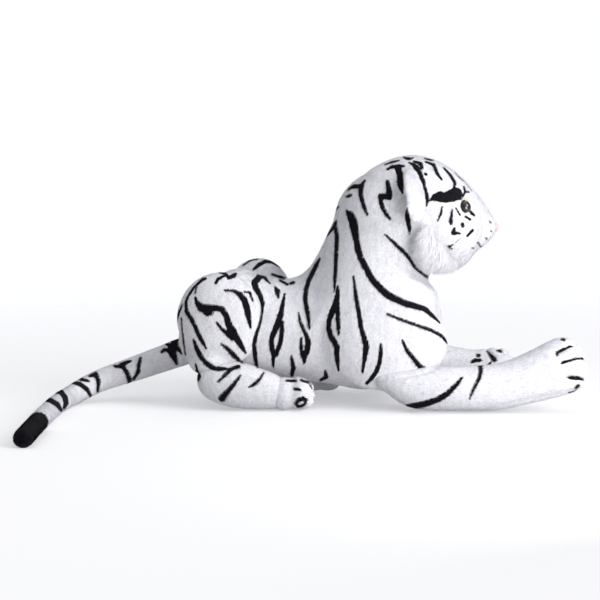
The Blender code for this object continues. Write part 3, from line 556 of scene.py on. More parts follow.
class Value:
    # A socket that does sums

    def __init__(self, tree, socket):
        self.tree = tree
        self.socket = socket

    def sum(self, kind, *terms):
        return addNode(self.tree, "ShaderNodeMath", {"operation": kind}, dict(enumerate(terms)))

    def __add__(self, other):
        return self.sum("ADD", self, other)

    def __sub__(self, other):
        return self.sum("SUBTRACT", self, other)

    def __mul__(self, other):
        return self.sum("MULTIPLY", self, other)

    def __rsub__(self, other):
        return self.sum("SUBTRACT", other, self)

    __radd__ = __add__
    __rmul__ = __mul__

    def under(self, limit):
        return self.sum("LESS_THAN", self, limit)

    def step(self, low, high):
        return addNode(self.tree, "ShaderNodeMapRange", {"interpolation_type": "SMOOTHSTEP"},
                       {0: self, 1: low, 2: high})

    def beside(self, name):
        # Another output of the same node
        return Value(self.tree, self.socket.node.outputs[name])


def feed(tree, socket, value):
    if isinstance(value, Value):
        tree.links.new(value.socket, socket)
    elif isinstance(value, (tuple, list)) and socket.type == "RGBA" and len(value) == 3:
        socket.default_value = (*value, 1.0)
    else:
        socket.default_value = value


def addNode(tree, kind, settings=None, inputs=None, out=0):
    made = tree.nodes.new(kind)
    for key, value in (settings or {}).items():
        setattr(made, key, value)
    for key, value in (inputs or {}).items():
        feed(tree, made.inputs[key], value)
    return Value(tree, made.outputs[out])


class Recipe:
    # A material being made

    def __init__(self, name):
        self.material = bpy.data.materials.new(name)
        self.material.use_nodes = True
        self.tree = self.material.node_tree
        self.surface = self.tree.nodes["Principled BSDF"]

    def node(self, kind, settings=None, inputs=None, out=0):
        return addNode(self.tree, "ShaderNode" + kind, settings, inputs, out)

    def place(self):
        return self.node("TexCoord", out="Object")

    def noise(self, size, detail=2.0, scale=(1.0, 1.0, 1.0)):
        # Grains of a size in metres
        place = self.node("Mapping", inputs={"Vector": self.place(), "Scale": scale})
        return self.node("TexNoise", inputs={"Vector": place, "Scale": 1.0 / size, "Detail": detail})

    def vector(self, kind, *terms, out=0):
        return self.node("VectorMath", {"operation": kind}, dict(enumerate(terms)), out)

    def mix(self, part, first, second):
        return self.node("Mix", {"data_type": "RGBA"}, {0: part, 6: first, 7: second}, 2)

    def bump(self, height, distance, strength):
        normal = self.node("Bump", inputs={"Height": height, "Distance": distance, "Strength": strength})
        feed(self.tree, self.surface.inputs["Normal"], normal)

    def finish(self, **inputs):
        for name, value in inputs.items():
            feed(self.tree, self.surface.inputs[name.replace("_", " ")], value)
        return self.material


def darker(colour, share):
    return tuple(share * part for part in colour)


plushLook = {
    "white": (0.88, 0.88, 0.915),
    "shade": (0.62, 0.62, 0.665),
    "black": (0.008, 0.0075, 0.010),
    "edge": 0.0006,           # how far a printed edge wanders
    "grain": 0.0011,          # size of the tufts
    "streak": 0.0045,         # width of the soft streaks in the pile
    "drawn": (1.0, 1.0, 0.22),     # they are drawn out upwards
    "cloud": 0.03,            # size of the patches that lie another way
    "cloudShare": 0.25,
    "foldShade": 0.55,        # how far a sewn line is shaded
    "relief": 0.0005,
}


def plush(name, look):
    made = Recipe(name)
    stripe = made.node("Attribute", {"attribute_name": "stripe"}, out="Fac")
    fold = made.node("Attribute", {"attribute_name": "fold"}, out="Fac")
    fine = made.noise(look["grain"], 3.0)
    streak = made.noise(look["streak"], 2.0, look["drawn"])
    cloud = made.noise(look["cloud"])
    white = made.mix((streak * 0.7 + fine * 0.3).step(0.30, 0.62), look["shade"], look["white"])
    white = made.mix((cloud - 0.35) * look["cloudShare"], white, look["white"])
    white = made.mix(fold * look["foldShade"], white, look["shade"])
    dark = made.mix(fine.step(0.3, 0.7), look["black"], darker(look["black"], 2.2))
    inside = ((fine - 0.5) * (look["edge"] * 2.0) + (streak - 0.5) * look["edge"] - stripe).step(
        -look["edge"] * 0.5, look["edge"] * 0.5)
    made.bump(fine * 0.6 + streak * 0.4, look["relief"], 0.5)
    return made.finish(Base_Color=made.mix(inside, white, dark), Roughness=fine * 0.15 + 0.78,
                       Sheen_Weight=0.06, Sheen_Roughness=0.5, Specular_IOR_Level=0.10)


# Hair colours, each with its sheen. The ear hairs are the pale hairs made darker: painted shade on the ears
# The ruff hairs are lighter copies of the pale and soft hairs: painted light against the shade among long
# hairs
strandLook = {"pale": ((0.93, 0.93, 0.965), 0.15), "ear": ((0.80, 0.80, 0.84), 0.15),
              "soft": ((0.70, 0.70, 0.74), 0.15), "ruff": ((0.95, 0.95, 0.975), 0.2),
              "ruff_shade": ((0.74, 0.74, 0.78), 0.1), "black": (plushLook["black"], 0.02)}
whitePlush = plush("white_plush_pile", plushLook)
strands = {}
for name, (colour, sheen) in strandLook.items():
    strands[name] = Recipe(f"{name}_strand").finish(Base_Color=colour, Roughness=0.85, Sheen_Weight=sheen,
                                                    Sheen_Roughness=0.5, Specular_IOR_Level=sheen * 0.6)


# Fur by Geometry Nodes: flat hairs that lie along the nap, coloured by the stripe under them

def strandShape(name, steps, bend):
    # One hair, its root at zero and its tip one up, tapering and bent away from its face
    shape = bmesh.new()
    rows = []
    for step in range(steps):
        part = step / steps
        wide = 0.5 * (1.0 - part) ** 0.7
        rows.append([shape.verts.new((side * wide, bend * part ** 2, part)) for side in (-1.0, 1.0)])
    tip = shape.verts.new((0.0, bend, 1.0))
    for low, high in zip(rows, rows[1:]):
        shape.faces.new((low[1], low[0], high[0], high[1]))
    shape.faces.new((rows[-1][1], rows[-1][0], tip))
    return fromShape(name, shape)


hairLook = {"shortest": 0.65, "longest": 1.15, "softShare": 0.42}


def furGroup():
    group = bpy.data.node_groups.new("fur", "GeometryNodeTree")
    face = group.interface
    face.new_socket("Geometry", in_out="OUTPUT", socket_type="NodeSocketGeometry")
    face.new_socket("Geometry", in_out="INPUT", socket_type="NodeSocketGeometry")
    kinds = (("Strand", "Object"), ("Density", "Float"), ("Length", "Float"), ("Width", "Float"),
             ("Lift", "Float"), ("Fuzz", "Float"), ("Tousle", "Float"), ("Seed", "Int"),
             ("Pale", "Material"), ("Soft", "Material"), ("Dark", "Material"))
    sockets = {name: face.new_socket(name, in_out="INPUT", socket_type="NodeSocket" + kind).identifier
               for name, kind in kinds}
    start = addNode(group, "NodeGroupInput")

    def given(name):
        return start.beside(name)

    def vector(kind, first, other=None):
        # The other value is the vector to add or the number to scale by
        inputs = {0: first} if other is None else {0: first, "Scale" if kind == "SCALE" else 1: other}
        return addNode(group, "ShaderNodeVectorMath", {"operation": kind}, inputs)

    def named(name, kind="FLOAT"):
        return addNode(group, "GeometryNodeInputNamedAttribute", {"data_type": kind}, {"Name": name})

    def chance(low, high, salt, kind="FLOAT"):
        lowPlace, highPlace, out = (0, 1, 0) if kind == "FLOAT_VECTOR" else (2, 3, 1)
        return addNode(group, "FunctionNodeRandomValue", {"data_type": kind},
                       {lowPlace: low, highPlace: high, "Seed": given("Seed") + salt}, out)

    points = addNode(group, "GeometryNodeDistributePointsOnFaces", inputs={
        "Mesh": given("Geometry"), "Density": given("Density") * named("pile"), "Seed": given("Seed")})
    normal = points.beside("Normal")
    jitter = chance((-1.0, -1.0, -1.0), (1.0, 1.0, 1.0), 11, "FLOAT_VECTOR")
    way = vector("ADD", named("nap", "FLOAT_VECTOR"), vector("SCALE", normal, given("Lift")))
    way = vector("NORMALIZE", vector("ADD", way, vector("SCALE", jitter, given("Tousle"))))
    turn = addNode(group, "FunctionNodeAlignRotationToVector", {"axis": "Z"}, {"Vector": way})
    turn = addNode(group, "FunctionNodeAlignRotationToVector", {"axis": "Y", "pivot_axis": "Z"},
                   {"Rotation": turn, "Vector": normal})
    length = given("Length") * named("long") * chance(hairLook["shortest"], hairLook["longest"], 5)
    size = addNode(group, "ShaderNodeCombineXYZ", inputs={0: given("Width"), 1: length, 2: length})
    dark = (named("stripe") + given("Fuzz") * chance(-1.0, 1.0, 3)).under(0.0)
    soft = chance(0.0, 1.0, 9).under(hairLook["softShare"])
    light = 1.0 - dark
    hair = addNode(group, "GeometryNodeObjectInfo", inputs={"Object": given("Strand")}, out="Geometry")
    both = addNode(group, "GeometryNodeJoinGeometry")
    for label, pick in (("Pale", light * (1.0 - soft)), ("Soft", light * soft), ("Dark", dark)):
        spread = addNode(group, "GeometryNodeInstanceOnPoints", inputs={
            "Points": points, "Selection": pick, "Instance": hair, "Rotation": turn, "Scale": size})
        real = addNode(group, "GeometryNodeRealizeInstances", inputs={0: spread})
        coloured = addNode(group, "GeometryNodeSetMaterial", inputs={0: real, "Material": given(label)})
        feed(group, both.socket.node.inputs[0], coloured)
    feed(group, group.nodes.new("NodeGroupOutput").inputs[0], both)
    return group, sockets


furTree, furSockets = furGroup()
shortHair = strandShape("short_hair", 1, 0.0)
longHair = strandShape("long_hair", 4, -0.35)
shortPile = {"Strand": shortHair, "Density": 2.3e6, "Length": 0.0024, "Width": 0.00042, "Lift": 0.30,
             "Fuzz": 0.0006, "Tousle": 0.26, "Pale": strands["pale"], "Soft": strands["soft"],
             "Dark": strands["black"]}
# The ears take the darker ear hairs, painted shade
earPaintedShadePile = {**shortPile, "Pale": strands["ear"]}
# The ruffs and cheeks take the lighter ruff hairs, painted light
longPile = {**shortPile, "Strand": longHair, "Density": 1.3e6, "Length": 0.0085, "Width": 0.00055,
            "Lift": 0.50, "Tousle": 0.55, "Pale": strands["ruff"], "Soft": strands["ruff_shade"]}
cheekPile = {**longPile, "Length": 0.0095}


def fur(piece, look, seed, parts=1, kind="pile"):
    # Hairs over a piece, as plain meshes
    made = []
    for part in range(parts):
        number = f"_{part + 1}" if parts > 1 else ""
        hairs = addObject(f"{piece.name}_{kind}{number}", piece.data.copy())
        step = hairs.modifiers.new("fur", "NODES")
        step.node_group = furTree
        for name, value in {**look, "Density": look["Density"] / parts, "Seed": seed + 20 * part}.items():
            step[furSockets[name]] = value
        applied(hairs)
        for attribute in list(hairs.data.attributes):
            if attribute.name in ("stripe", "nap", "pile", "long", "fold"):
                hairs.data.attributes.remove(attribute)
        made.append(hairs)
    return made


marksLook = {
    "black": -0.01,           # a stripe value deep inside a mark
    "faint": -0.00015,        # one that leaves only part of the hairs dark, for the whisker spots
    "faintBold": 0.7,
    "thin": 0.0024,           # how far the edges of the head's marks draw in where it faces away
    "edgeOn": 0.2,            # the share that comes back where it is edge-on to the view
    "gain": 1.8,              # and how much more does as it turns to the view
    "taper": 0.003,           # how far a far leg's marks draw in where its inner face starts
    "taperOver": 0.010,       # and from how far off
    "bare": 0.0020,           # no hair stands lower over the floor
    "fold": 0.0008,           # how far a seam's shade reaches
    "inside": 0.0015,         # no hair stands deeper in a neighbour
}


def marks(thing, nap, names, direct=False, shift=still, head=False, long=1.0, seams=(), inner=None,
          faint=()):
    # The stripe, nap, pile, length and seam values of a piece's surface
    points, out = vertices(thing), normals(thing)
    flat = seen(points if direct else mirroredHead(points) if head else mirrored(points, shift))
    stripe = lineDistance(flat, names)
    if head:
        # Lines near the midline would smear over the forehead, so they thin out there
        side = mirroredHead(out, 0.0)
        facing = side[:, 2] * viewUp - side[:, 1] * viewAlong
        stripe += marksLook["thin"] * (1.0 - ramp(marksLook["edgeOn"] + marksLook["gain"] * facing, 1.0))
    faintStripe = np.maximum(lineDistance(flat, faint, marksLook["faintBold"]), marksLook["faint"])
    stripe = np.minimum(stripe, faintStripe)
    if inner is not None:
        # The inner face of a far leg has its own marks
        aside, innerNames = inner
        beyond = points[:, 1] - middle[1] - aside
        stripe += marksLook["taper"] * (1.0 - ramp(beyond, marksLook["taperOver"]))
        stripe = np.where(beyond < 0.0, lineDistance(seen(points), innerNames), stripe)
    setValues(thing, "stripe", stripe)
    way = np.broadcast_to(np.asarray(nap(points) if callable(nap) else nap, float), points.shape).copy()
    way -= out * np.sum(way * out, axis=1)[:, None]
    way /= np.linalg.norm(way, axis=1)[:, None] + 1e-6
    setValues(thing, "nap", way, "FLOAT_VECTOR")
    setValues(thing, "pile", np.where(points[:, 2] < marksLook["bare"], 0.0, 1.0))
    setValues(thing, "long", np.full(len(points), long))
    setValues(thing, "fold", 1.0 - ramp(lineDistance(flat, seams, 0.0), marksLook["fold"]))


def groove(thing, name, deep, wide, direct=False, shift=still):
    # Sewn lines draw the cover in
    points = vertices(thing)
    off = lineDistance(seen(points if direct else mirrored(points, shift)), (name,), 0.0)
    sunk = deep * np.exp(-(np.maximum(off, 0.0) / wide) ** 2)
    setVertices(thing, points - normals(thing) * sunk[:, None])


def hide(thing, others):
    # No hair where a piece is inside its neighbours
    points = vertices(thing)
    pile = values(thing, "pile")
    for other in others:
        low, high = np.array([corner[:] for corner in other.bound_box])[[0, 6]]
        near = np.all((points > low) & (points < high), axis=1) & (pile > 0.0)
        mesh = other.data
        mesh.calc_loop_triangles()
        tree = BVHTree.FromPolygons([v.co for v in mesh.vertices], [t.vertices for t in mesh.loop_triangles])
        for number in np.nonzero(near)[0]:
            spot = Vector(points[number])
            point, normal, face, away = tree.find_nearest(spot)
            if (spot - point).dot(normal) < 0.0 and away > marksLook["inside"]:
                pile[number] = 0.0
    setValues(thing, "pile", pile)


def dress(piece, node, body):
    # A cover stands for its node and rides with its body
    coat(piece, whitePlush)
    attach(piece, body)
    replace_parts(piece, *([node] if isinstance(node, str) else node))


# Torso with the neck's round end, a full nape, rump and seat, and shoulders over the elbows
torsoLook = {"nape": (0.0915, 0.0, 0.1860), "napeHalf": (0.0580, 0.049, 0.0590),
             "rump": (-0.066, 0.0, 0.094), "rumpHalf": (0.036, 0.044, 0.0470),
             "seat": (-0.0985, 0.0, 0.066), "seatHalf": (0.0310, 0.046, 0.034),
             "shoulder": (0.087, 0.0565, 0.069), "shoulderHalf": (0.066, 0.0270, 0.050),
             "bellyLift": 0.0045, "bellyFrom": -0.020, "bellyTo": 0.062, "bellyTop": 0.055,
             "bellyFade": 0.03,
             "cover": {"voxel": 0.0048, "smooth": 7, "puff": 0.002}}
fill = [ball("fill", middle + np.array(torsoLook[name]), torsoLook[name + "Half"])
        for name in ("nape", "rump", "seat")]
for side in sideOf.values():
    centre = middle + np.array(torsoLook["shoulder"]) * (1.0, side, 1.0)
    fill.append(ball("fill", centre, torsoLook["shoulderHalf"]))
torso = skin("torso_cover", [nodeCopy("torso_form", "torso"), *fill], **torsoLook["cover"])
points = vertices(torso)
along, fade = points[:, 0] - middle[0], torsoLook["bellyFade"]
lift = ramp(along - torsoLook["bellyFrom"], fade) * ramp(torsoLook["bellyTo"] - along, fade)
points[:, 2] += torsoLook["bellyLift"] * lift * ramp(torsoLook["bellyTop"] - points[:, 2], fade)
setVertices(torso, points)

# Haunches, shins and hind paws; the left ones lie further forward
thighLook = {"shares": ((-0.82, 0.52), (-0.50, 0.85), (0.0, 1.0), (0.50, 0.87), (0.82, 0.55)),
             "half": (0.0480, 0.0280, 0.0525), "centre": (-0.0820, 0.0520, 0.0920),
             "pad": (-0.0105, -0.002, -0.0400), "padHalf": (0.0250, 0.0240, 0.0190),
             "cover": {"voxel": 0.0038, "smooth": 5, "puff": 0.0025}}
shinShares = ((-0.02, 0.44, 0.98, 0.58), (0.06, 0.27, 1.10, 0.80), (0.24, 0.10, 1.18, 0.99),
              (0.50, 0.0, 1.15, 1.0), (0.76, 0.0, 0.95, 0.95), (1.0, 0.01, 0.80, 0.84))
shinLook = {"length": 0.086, "height": 0.0455, "half": 0.0205, "aside": 0.0585, "ankle": 0.0165,
            "sunk": 0.0005, "kneeEnd": -0.0045, "kneeUp": 0.7, "ankleEnd": 0.006,
            "cover": {"voxel": 0.0034, "smooth": 3, "puff": 0.0015}}
hindPawCover = {"voxel": 0.0026, "smooth": 3}
hindSides = {"right": {"ahead": 0.0, "lift": 0.0, "shinAhead": 0.0, "out": 0.0, "share": 1.0},
             "left": {"ahead": 0.037, "lift": 0.006, "shinAhead": 0.030, "out": 0.0045, "share": 0.86}}
thighs, shins, paws = {}, {}, {}
for label, side in sideOf.items():
    own = hindSides[label]
    shift = np.array((own["ahead"], side * own["out"], own["lift"]))
    centre = np.array(thighLook["centre"]) * (1.0, side, 1.0) + shift + middle
    halfLong, halfWide, halfHigh = np.array(thighLook["half"]) * (own["share"], 1.0, 1.0)
    table = [(along, -size, size, size) for along, size in thighLook["shares"]]
    rows = movedRings(uprightRings(table, halfLong, halfHigh, halfWide), centre)
    reach = np.array((halfLong, 0.0, 0.0))
    pad = ball("form", centre + np.array(thighLook["pad"]) * (own["share"], side, 1.0), thighLook["padHalf"])
    thighs[label] = skin(f"haunch_{label}", [bag("form", rows, (centre - reach, centre + reach)), pad],
                         **thighLook["cover"])
    aside = side * (shinLook["aside"] + own["out"])
    ankle = middle + np.array((own["shinAhead"] - shinLook["ankle"], aside, 0.0))
    start = ankle - np.array((shinLook["length"], 0.0, shinLook["sunk"]))
    rows = uprightRings(shinShares, shinLook["length"], shinLook["height"], shinLook["half"])
    rows = movedRings(rows, start)
    ends = (start + np.array((shinLook["kneeEnd"], 0.0, shinLook["height"] * shinLook["kneeUp"])),
            rows[-1][0] + np.array((shinLook["ankleEnd"], 0.0, 0.0)))
    shins[label] = skin(f"shin_cover_{label}", [bag("form", rows, ends)], **shinLook["cover"])
    paws[label] = skin(f"hind_paw_cover_{label}", [nodeCopy("form", f"hind_paw_{label}")], **hindPawCover)

# Forelegs
nearShares = ((0.03, 0.60, 0.96, 0.56), (0.10, 0.34, 1.02, 0.82), (0.18, 0.06, 1.04, 0.95),
              (0.28, -0.01, 1.05, 1.0), (0.45, -0.01, 1.03, 1.0), (0.58, 0.0, 1.06, 0.96),
              (0.69, 0.12, 1.26, 0.93), (0.79, 0.24, 1.52, 1.00), (0.875, 0.34, 1.73, 1.06),
              (0.94, 0.43, 1.63, 1.0), (0.985, 0.55, 1.34, 0.76))
farShares = ((0.03, 0.30, 0.90, 0.62), (0.13, 0.06, 1.02, 0.88), (0.28, -0.01, 1.10, 1.0),
             (0.43, -0.01, 1.15, 1.0), (0.54, -0.01, 1.12, 0.97), (0.66, -0.01, 1.00, 0.95),
             (0.75, -0.01, 0.96, 0.97), (0.85, -0.01, 1.05, 1.06), (0.93, 0.04, 0.97, 1.0),
             (0.97, 0.16, 0.80, 0.72))
foreLook = {"height": 0.047, "half": 0.024, "elbow": (0.096, 0.064), "back": 0.029,
            "turn": math.radians(4.0), "sunk": 0.0005, "elbowUp": 0.62,
            "cover": {"voxel": 0.0042, "smooth": 3, "puff": 0.0015}}
foreSides = {"right": {"shares": nearShares, "length": 0.224, "back": 0.0},
             "left": {"shares": farShares, "length": 0.224 * 0.835, "back": 0.010}}
forelegs = {}
for label, side in sideOf.items():
    own = foreSides[label]
    elbow = middle + np.array((foreLook["elbow"][0] - own["back"], side * foreLook["elbow"][1], 0.0))
    angle = side * foreLook["turn"]
    start = turned(angle) @ np.array((-foreLook["back"], 0.0, -foreLook["sunk"])) + elbow
    rows = uprightRings(own["shares"], own["length"], foreLook["height"], foreLook["half"])
    tipUp = (own["shares"][-1][1] + own["shares"][-1][2]) / 2.0
    ends = (start + np.array((0.0, 0.0, foreLook["height"] * foreLook["elbowUp"])),
            start + turned(angle) @ np.array((own["length"], 0.0, foreLook["height"] * tipUp)))
    forelegs[label] = skin(f"foreleg_cover_{label}", [bag("form", movedRings(rows, start, angle), ends)],
                           **foreLook["cover"])

# Head, muzzle and chin under one cover
headShares = ((-0.360, 0.630, 0.180, -0.450, 0.58), (-0.160, 0.830, 0.320, -0.550, 0.78),
              (0.020, 0.945, 0.420, -0.600, 0.95),
              (0.210, 1.000, 0.530, -0.605, 1.00), (0.420, 0.925, 0.630, -0.580, 1.00),
              (0.590, 0.785, 0.710, -0.490, 0.90), (0.735, 0.590, 0.750, -0.410, 0.69),
              (0.850, 0.410, 0.830, -0.290, 0.47), (0.940, 0.260, 0.905, -0.150, 0.27))
muzzleShares = ((0.740, 0.170, 0.630, -0.455, 0.74), (0.840, 0.210, 0.720, -0.400, 1.00),
                (0.935, 0.190, 0.850, -0.290, 0.96), (1.005, 0.120, 0.955, -0.160, 0.68))
chinShares = ((0.580, -0.290, 0.560, -0.575, 0.70), (0.680, -0.260, 0.665, -0.535, 1.00),
              (0.765, -0.270, 0.755, -0.440, 0.74))
headLook = {"length": 0.112, "height": 0.078, "half": 0.059, "muzzle": 0.0285, "chin": 0.015,
            "faceUp": 0.065, "endBehind": 0.3, "endAhead": 0.4, "cover": {"voxel": 0.0032, "smooth": 2}}
forms = []
for table, half in ((headShares, "half"), (muzzleShares, "muzzle"), (chinShares, "chin")):
    rows = slantedRings(table, headLook["length"], headLook["height"], headLook[half])
    if table is headShares:
        ends = (still, (headLook["length"], 0.0, headLook["height"] * headLook["faceUp"]))
    else:
        first, last = rows[0][0], rows[-1][0]
        ends = (first - (rows[1][0] - first) * headLook["endBehind"],
                last + (last - rows[-2][0]) * headLook["endAhead"])
    forms.append(inHead(bag("form", rows, ends)))
head = skin("head_cover", forms, **headLook["cover"])

# Ears, drawn longer and wider below, and cheek ruffs
earLook = {"full": 0.212, "over": 0.030, "front": {"right": 0.1290, "left": 0.1093}, "wider": 1.0,
           "longer": 0.0065, "ahead": 0.0020, "cover": {"voxel": 0.0017, "smooth": 4, "levels": 1}}
ruffCover = {"voxel": 0.0024, "smooth": 4, "levels": 1}
ears, ruffs = {}, {}
for label in sideOf:
    ears[label] = skin(f"ear_cover_{label}", [nodeCopy("form", f"ear_{label}")], **earLook["cover"])
    points = vertices(ears[label])
    lower = ramp(earLook["full"] - points[:, 2], earLook["over"])
    front = middle[0] + earLook["front"][label]
    points[:, 0] += (points[:, 0] - front) * earLook["wider"] * lower + earLook["ahead"] * lower
    points[:, 2] -= earLook["longer"] * lower
    setVertices(ears[label], points)
    ruffs[label] = skin(f"ruff_cover_{label}", [nodeCopy("form", f"cheek_ruff_{label}")], **ruffCover)

# Tail: one sewn tube in five lengths, the first three each bending over one joint
tailRoute = ((0.0, 0.0, 1.0), (0.36, 0.0, 0.690), (0.68, 0.01, 0.430), (0.88, 0.11, 0.225),
             (0.957, 0.29, 0.150), (0.985, 0.47, 0.100), (0.995, 0.65, 0.0), (1.0, 0.82, 0.0),
             (1.0, 1.0, 0.0))
tailLook = {"root": 0.0144, "end": 0.0088, "thinning": 2.6, "rise": 0.0505, "start": 0.1280,
            "back": 0.121, "aside": 0.257, "sunk": 0.0004, "joints": (0.0, 0.33, 0.60), "cap": 0.765,
            "hidden": -0.09, "tip": 1.018, "tipRound": 0.022, "sides": 36, "rings": 260,
            "step": 0.01, "samples": 120, "bend": 0.014}


def tailRadius(share):
    share = min(max(share, 0.0), 1.0)
    return tailLook["end"] + (tailLook["root"] - tailLook["end"]) * (1.0 - share) ** tailLook["thinning"]


def tailPath(share):
    # A smooth curve through the route's points, drawn on straight past its ends
    end = min(max(share, 0.0), 1.0)
    over, step = share - end, tailLook["step"]
    if over:
        inner = end - math.copysign(step, over)
        return tailPath(end) + (tailPath(end) - tailPath(inner)) * abs(over) / step
    last = len(tailRoute) - 1
    number = min(int(share * last), last - 1)
    t = share * last - number
    before, start, end, after = [np.array(tailRoute[min(max(number + k, 0), last)]) for k in (-1, 0, 1, 2)]
    rise, fall = (end - before) / 2.0, (after - start) / 2.0
    back, aside, up = (start + rise * t + (3.0 * (end - start) - 2.0 * rise - fall) * t ** 2
                       + (2.0 * (start - end) + rise + fall) * t ** 3)
    high = max(up * tailLook["rise"], tailRadius(share) - tailLook["sunk"])
    ahead = -tailLook["start"] - tailLook["back"] * back
    return middle + np.array((ahead, -tailLook["aside"] * aside, high))


def tailWay(share):
    # The way the tail runs there, towards its tip
    way = tailPath(share + tailLook["step"]) - tailPath(share - tailLook["step"])
    return way / np.linalg.norm(way)


def tailTube(name, start, end, rounded):
    rows, sides = int((end - start) * tailLook["rings"]) + 2, tailLook["sides"]
    points = []
    for share in np.linspace(start, end, rows):
        way = tailWay(share)
        centre = tailPath(share)
        side = np.cross(way, (0.0, 0.0, 1.0))
        side /= np.linalg.norm(side)
        up = np.cross(side, way)
        radius = tailRadius(share)
        if rounded:
            left = (end - share) / tailLook["tipRound"]
            radius *= math.sqrt(1.0 - max(1.0 - left, 0.0) ** 2)
        for step in range(sides):
            angle = 2.0 * math.pi * step / sides
            points.append(centre + radius * (up * math.cos(angle) + side * math.sin(angle)))
    faces = tubeFaces(rows, sides)
    for first in (0, (rows - 1) * sides):
        faces += [(first + step, first + (step + 1) % sides, len(points)) for step in range(sides)]
        points.append(np.mean(points[first:first + sides], axis=0))
    return fromPoints(name, points, faces)


tailEnds = (*tailLook["joints"], tailLook["cap"])
betweenJoints = [(first + second) / 2.0 for first, second in zip(tailEnds, tailEnds[1:])]
tailShares = (tailLook["hidden"], *betweenJoints, tailLook["cap"], tailLook["tip"])
tails = [tailTube(f"tail_{name}_cover", start, end, name == "cap")
         for name, start, end in zip(("root", "bend", "far", "end", "cap"), tailShares, tailShares[1:])]
print("covers made")


def tailNap(points):
    path = np.array([tailPath(share) for share in np.linspace(0.0, 1.0, tailLook["samples"])])
    nearest = np.argmin(((points[:, None, :] - path[None]) ** 2).sum(axis=2), axis=1)
    return np.gradient(path, axis=0)[nearest]


# Stripes, and the nap: the way the hairs lie on each piece
naps = {"torso": (-0.40, 0.0, -1.0), "thigh": (-0.15, 0.0, -1.0), "shin": (0.6, 0.0, -0.5),
        "hindPaw": (1.0, 0.0, -0.3), "foreleg": (1.0, 0.0, -0.15), "head": (-1.0, 0.0, 0.15),
        "ear": (-1.0, 0.0, -0.2), "ruff": (-0.55, 0.0, -1.0)}
# How deep each sewn line draws the cover in, and how far to its sides
sewn = {"torso": ("seam", 0.0012, 0.0030), "foreleg": ("seam", 0.0008, 0.0022),
        "paw": ("toes", 0.0020, 0.0024), "farPaw": ("farToes", 0.0018, 0.0020),
        "hindPaw": ("hindToes", 0.0014, 0.0020)}
# Where the inner face of a far leg starts, to the left of the middle, and its marks
farInner = {"thigh": (0.058, ("farHaunch",)), "shin": (0.063, ()), "foreleg": (0.074, ("farForeleg",))}
farForelegShift = (-0.040, 0.0, 0.0)
groove(torso, *sewn["torso"])
groove(forelegs["right"], *sewn["foreleg"])
groove(forelegs["right"], *sewn["paw"])
groove(forelegs["left"], *sewn["farPaw"], direct=True)
marks(torso, naps["torso"], ("body", "headBack"), seams=("seam",))
for label in sideOf:
    own = hindSides[label]
    thighShift, legShift = (own["ahead"], 0.0, own["lift"]), (own["shinAhead"], 0.0, 0.0)
    inner = farInner if label == "left" else {"thigh": None, "shin": None}
    groove(paws[label], *sewn["hindPaw"], shift=legShift)
    marks(thighs[label], naps["thigh"], ("body", "shin"), shift=thighShift, inner=inner["thigh"])
    marks(shins[label], naps["shin"], ("shin", "body"), shift=legShift, seams=("shinSeam",),
          inner=inner["shin"])
    marks(paws[label], naps["hindPaw"], ("hindPaw",), shift=legShift, inner=inner["shin"])
    marks(ears[label], naps["ear"], ("headBack",), head=True, long=0.85)
    marks(ruffs[label], naps["ruff"], ("headBack",), head=True)
marks(forelegs["right"], naps["foreleg"], ("foreleg",), seams=("seam",))
marks(forelegs["left"], naps["foreleg"], ("foreleg",), shift=farForelegShift, inner=farInner["foreleg"])
marks(head, naps["head"], ("face", "brow", "headTop", "headBack"), head=True, long=0.7, faint=("whisker",))
for tube in tails:
    marks(tube, tailNap, ("tail",), direct=True, long=0.9)
tailCap = tails[4]
setValues(tailCap, "stripe", np.full(len(tailCap.data.vertices), marksLook["black"]))
hide(torso, [*thighs.values(), *forelegs.values(), head])
for label in sideOf:
    hide(thighs[label], [torso])
    hide(shins[label], [torso, thighs[label]])
    hide(forelegs[label], [torso])
    hide(paws[label], [shins[label]])
    hide(ears[label], [head])
    hide(ruffs[label], [head])
hide(head, [torso])
print("stripes drawn")

# Fur over every piece, with its pile, its body and the number of parts it is cut into
seeds = count(100, 100)
plan = [(torso, shortPile, "root", 3), (head, shortPile, "head", 1), (tailCap, shortPile, "tail_end", 1),
        (tails[3], shortPile, "tail_end", 1)]
for label in sideOf:
    plan += [(thighs[label], shortPile, "root", 1), (shins[label], shortPile, "root", 1),
             (paws[label], shortPile, f"hind_paw_{label}", 1),
             (forelegs[label], shortPile, f"foreleg_{label}", 1), (ears[label], earPaintedShadePile, f"ear_{label}", 1)]
for piece, pile, body, parts in plan:
    for hairs in fur(piece, pile, next(seeds), parts):
        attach(hairs, body)
for label in sideOf:
    for hairs in fur(ruffs[label], longPile, next(seeds)):
        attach(hairs, "head")

# The head's own long hairs grow behind and below these places, measured from the neck's centre
cheekZones = ({"ahead": 0.046, "up": 0.010, "fade": 0.016}, {"ahead": 0.076, "up": -0.010, "fade": 0.020})
cheekShare = 0.8
local = (vertices(head) - headZero) @ headSpin
short = values(head, "pile")
grown = [ramp(zone["ahead"] - local[:, 0], zone["fade"]) * ramp(zone["up"] - local[:, 2], zone["fade"])
         for zone in cheekZones]
setValues(head, "pile", short * np.maximum(*grown) * cheekShare)
for hairs in fur(head, cheekPile, next(seeds), kind="ruff"):
    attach(hairs, "head")
setValues(head, "pile", short)

# The tail's first three lengths bend from one body to the next
tailBodies = ("root", "tail_base", "tail_middle", "tail_end")
for number, tube in enumerate(tails[:3]):
    joint = tailLook["joints"][number]
    pivot, half = tailPath(joint), tailWay(joint) * tailLook["bend"]
    for thing in (*fur(tube, shortPile, next(seeds)), tube):
        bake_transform(thing, *tailBodies[number:number + 2], start=pivot - half, end=pivot + half)
    coat(tube, whitePlush)
    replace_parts(tube, tailBodies[number + 1])

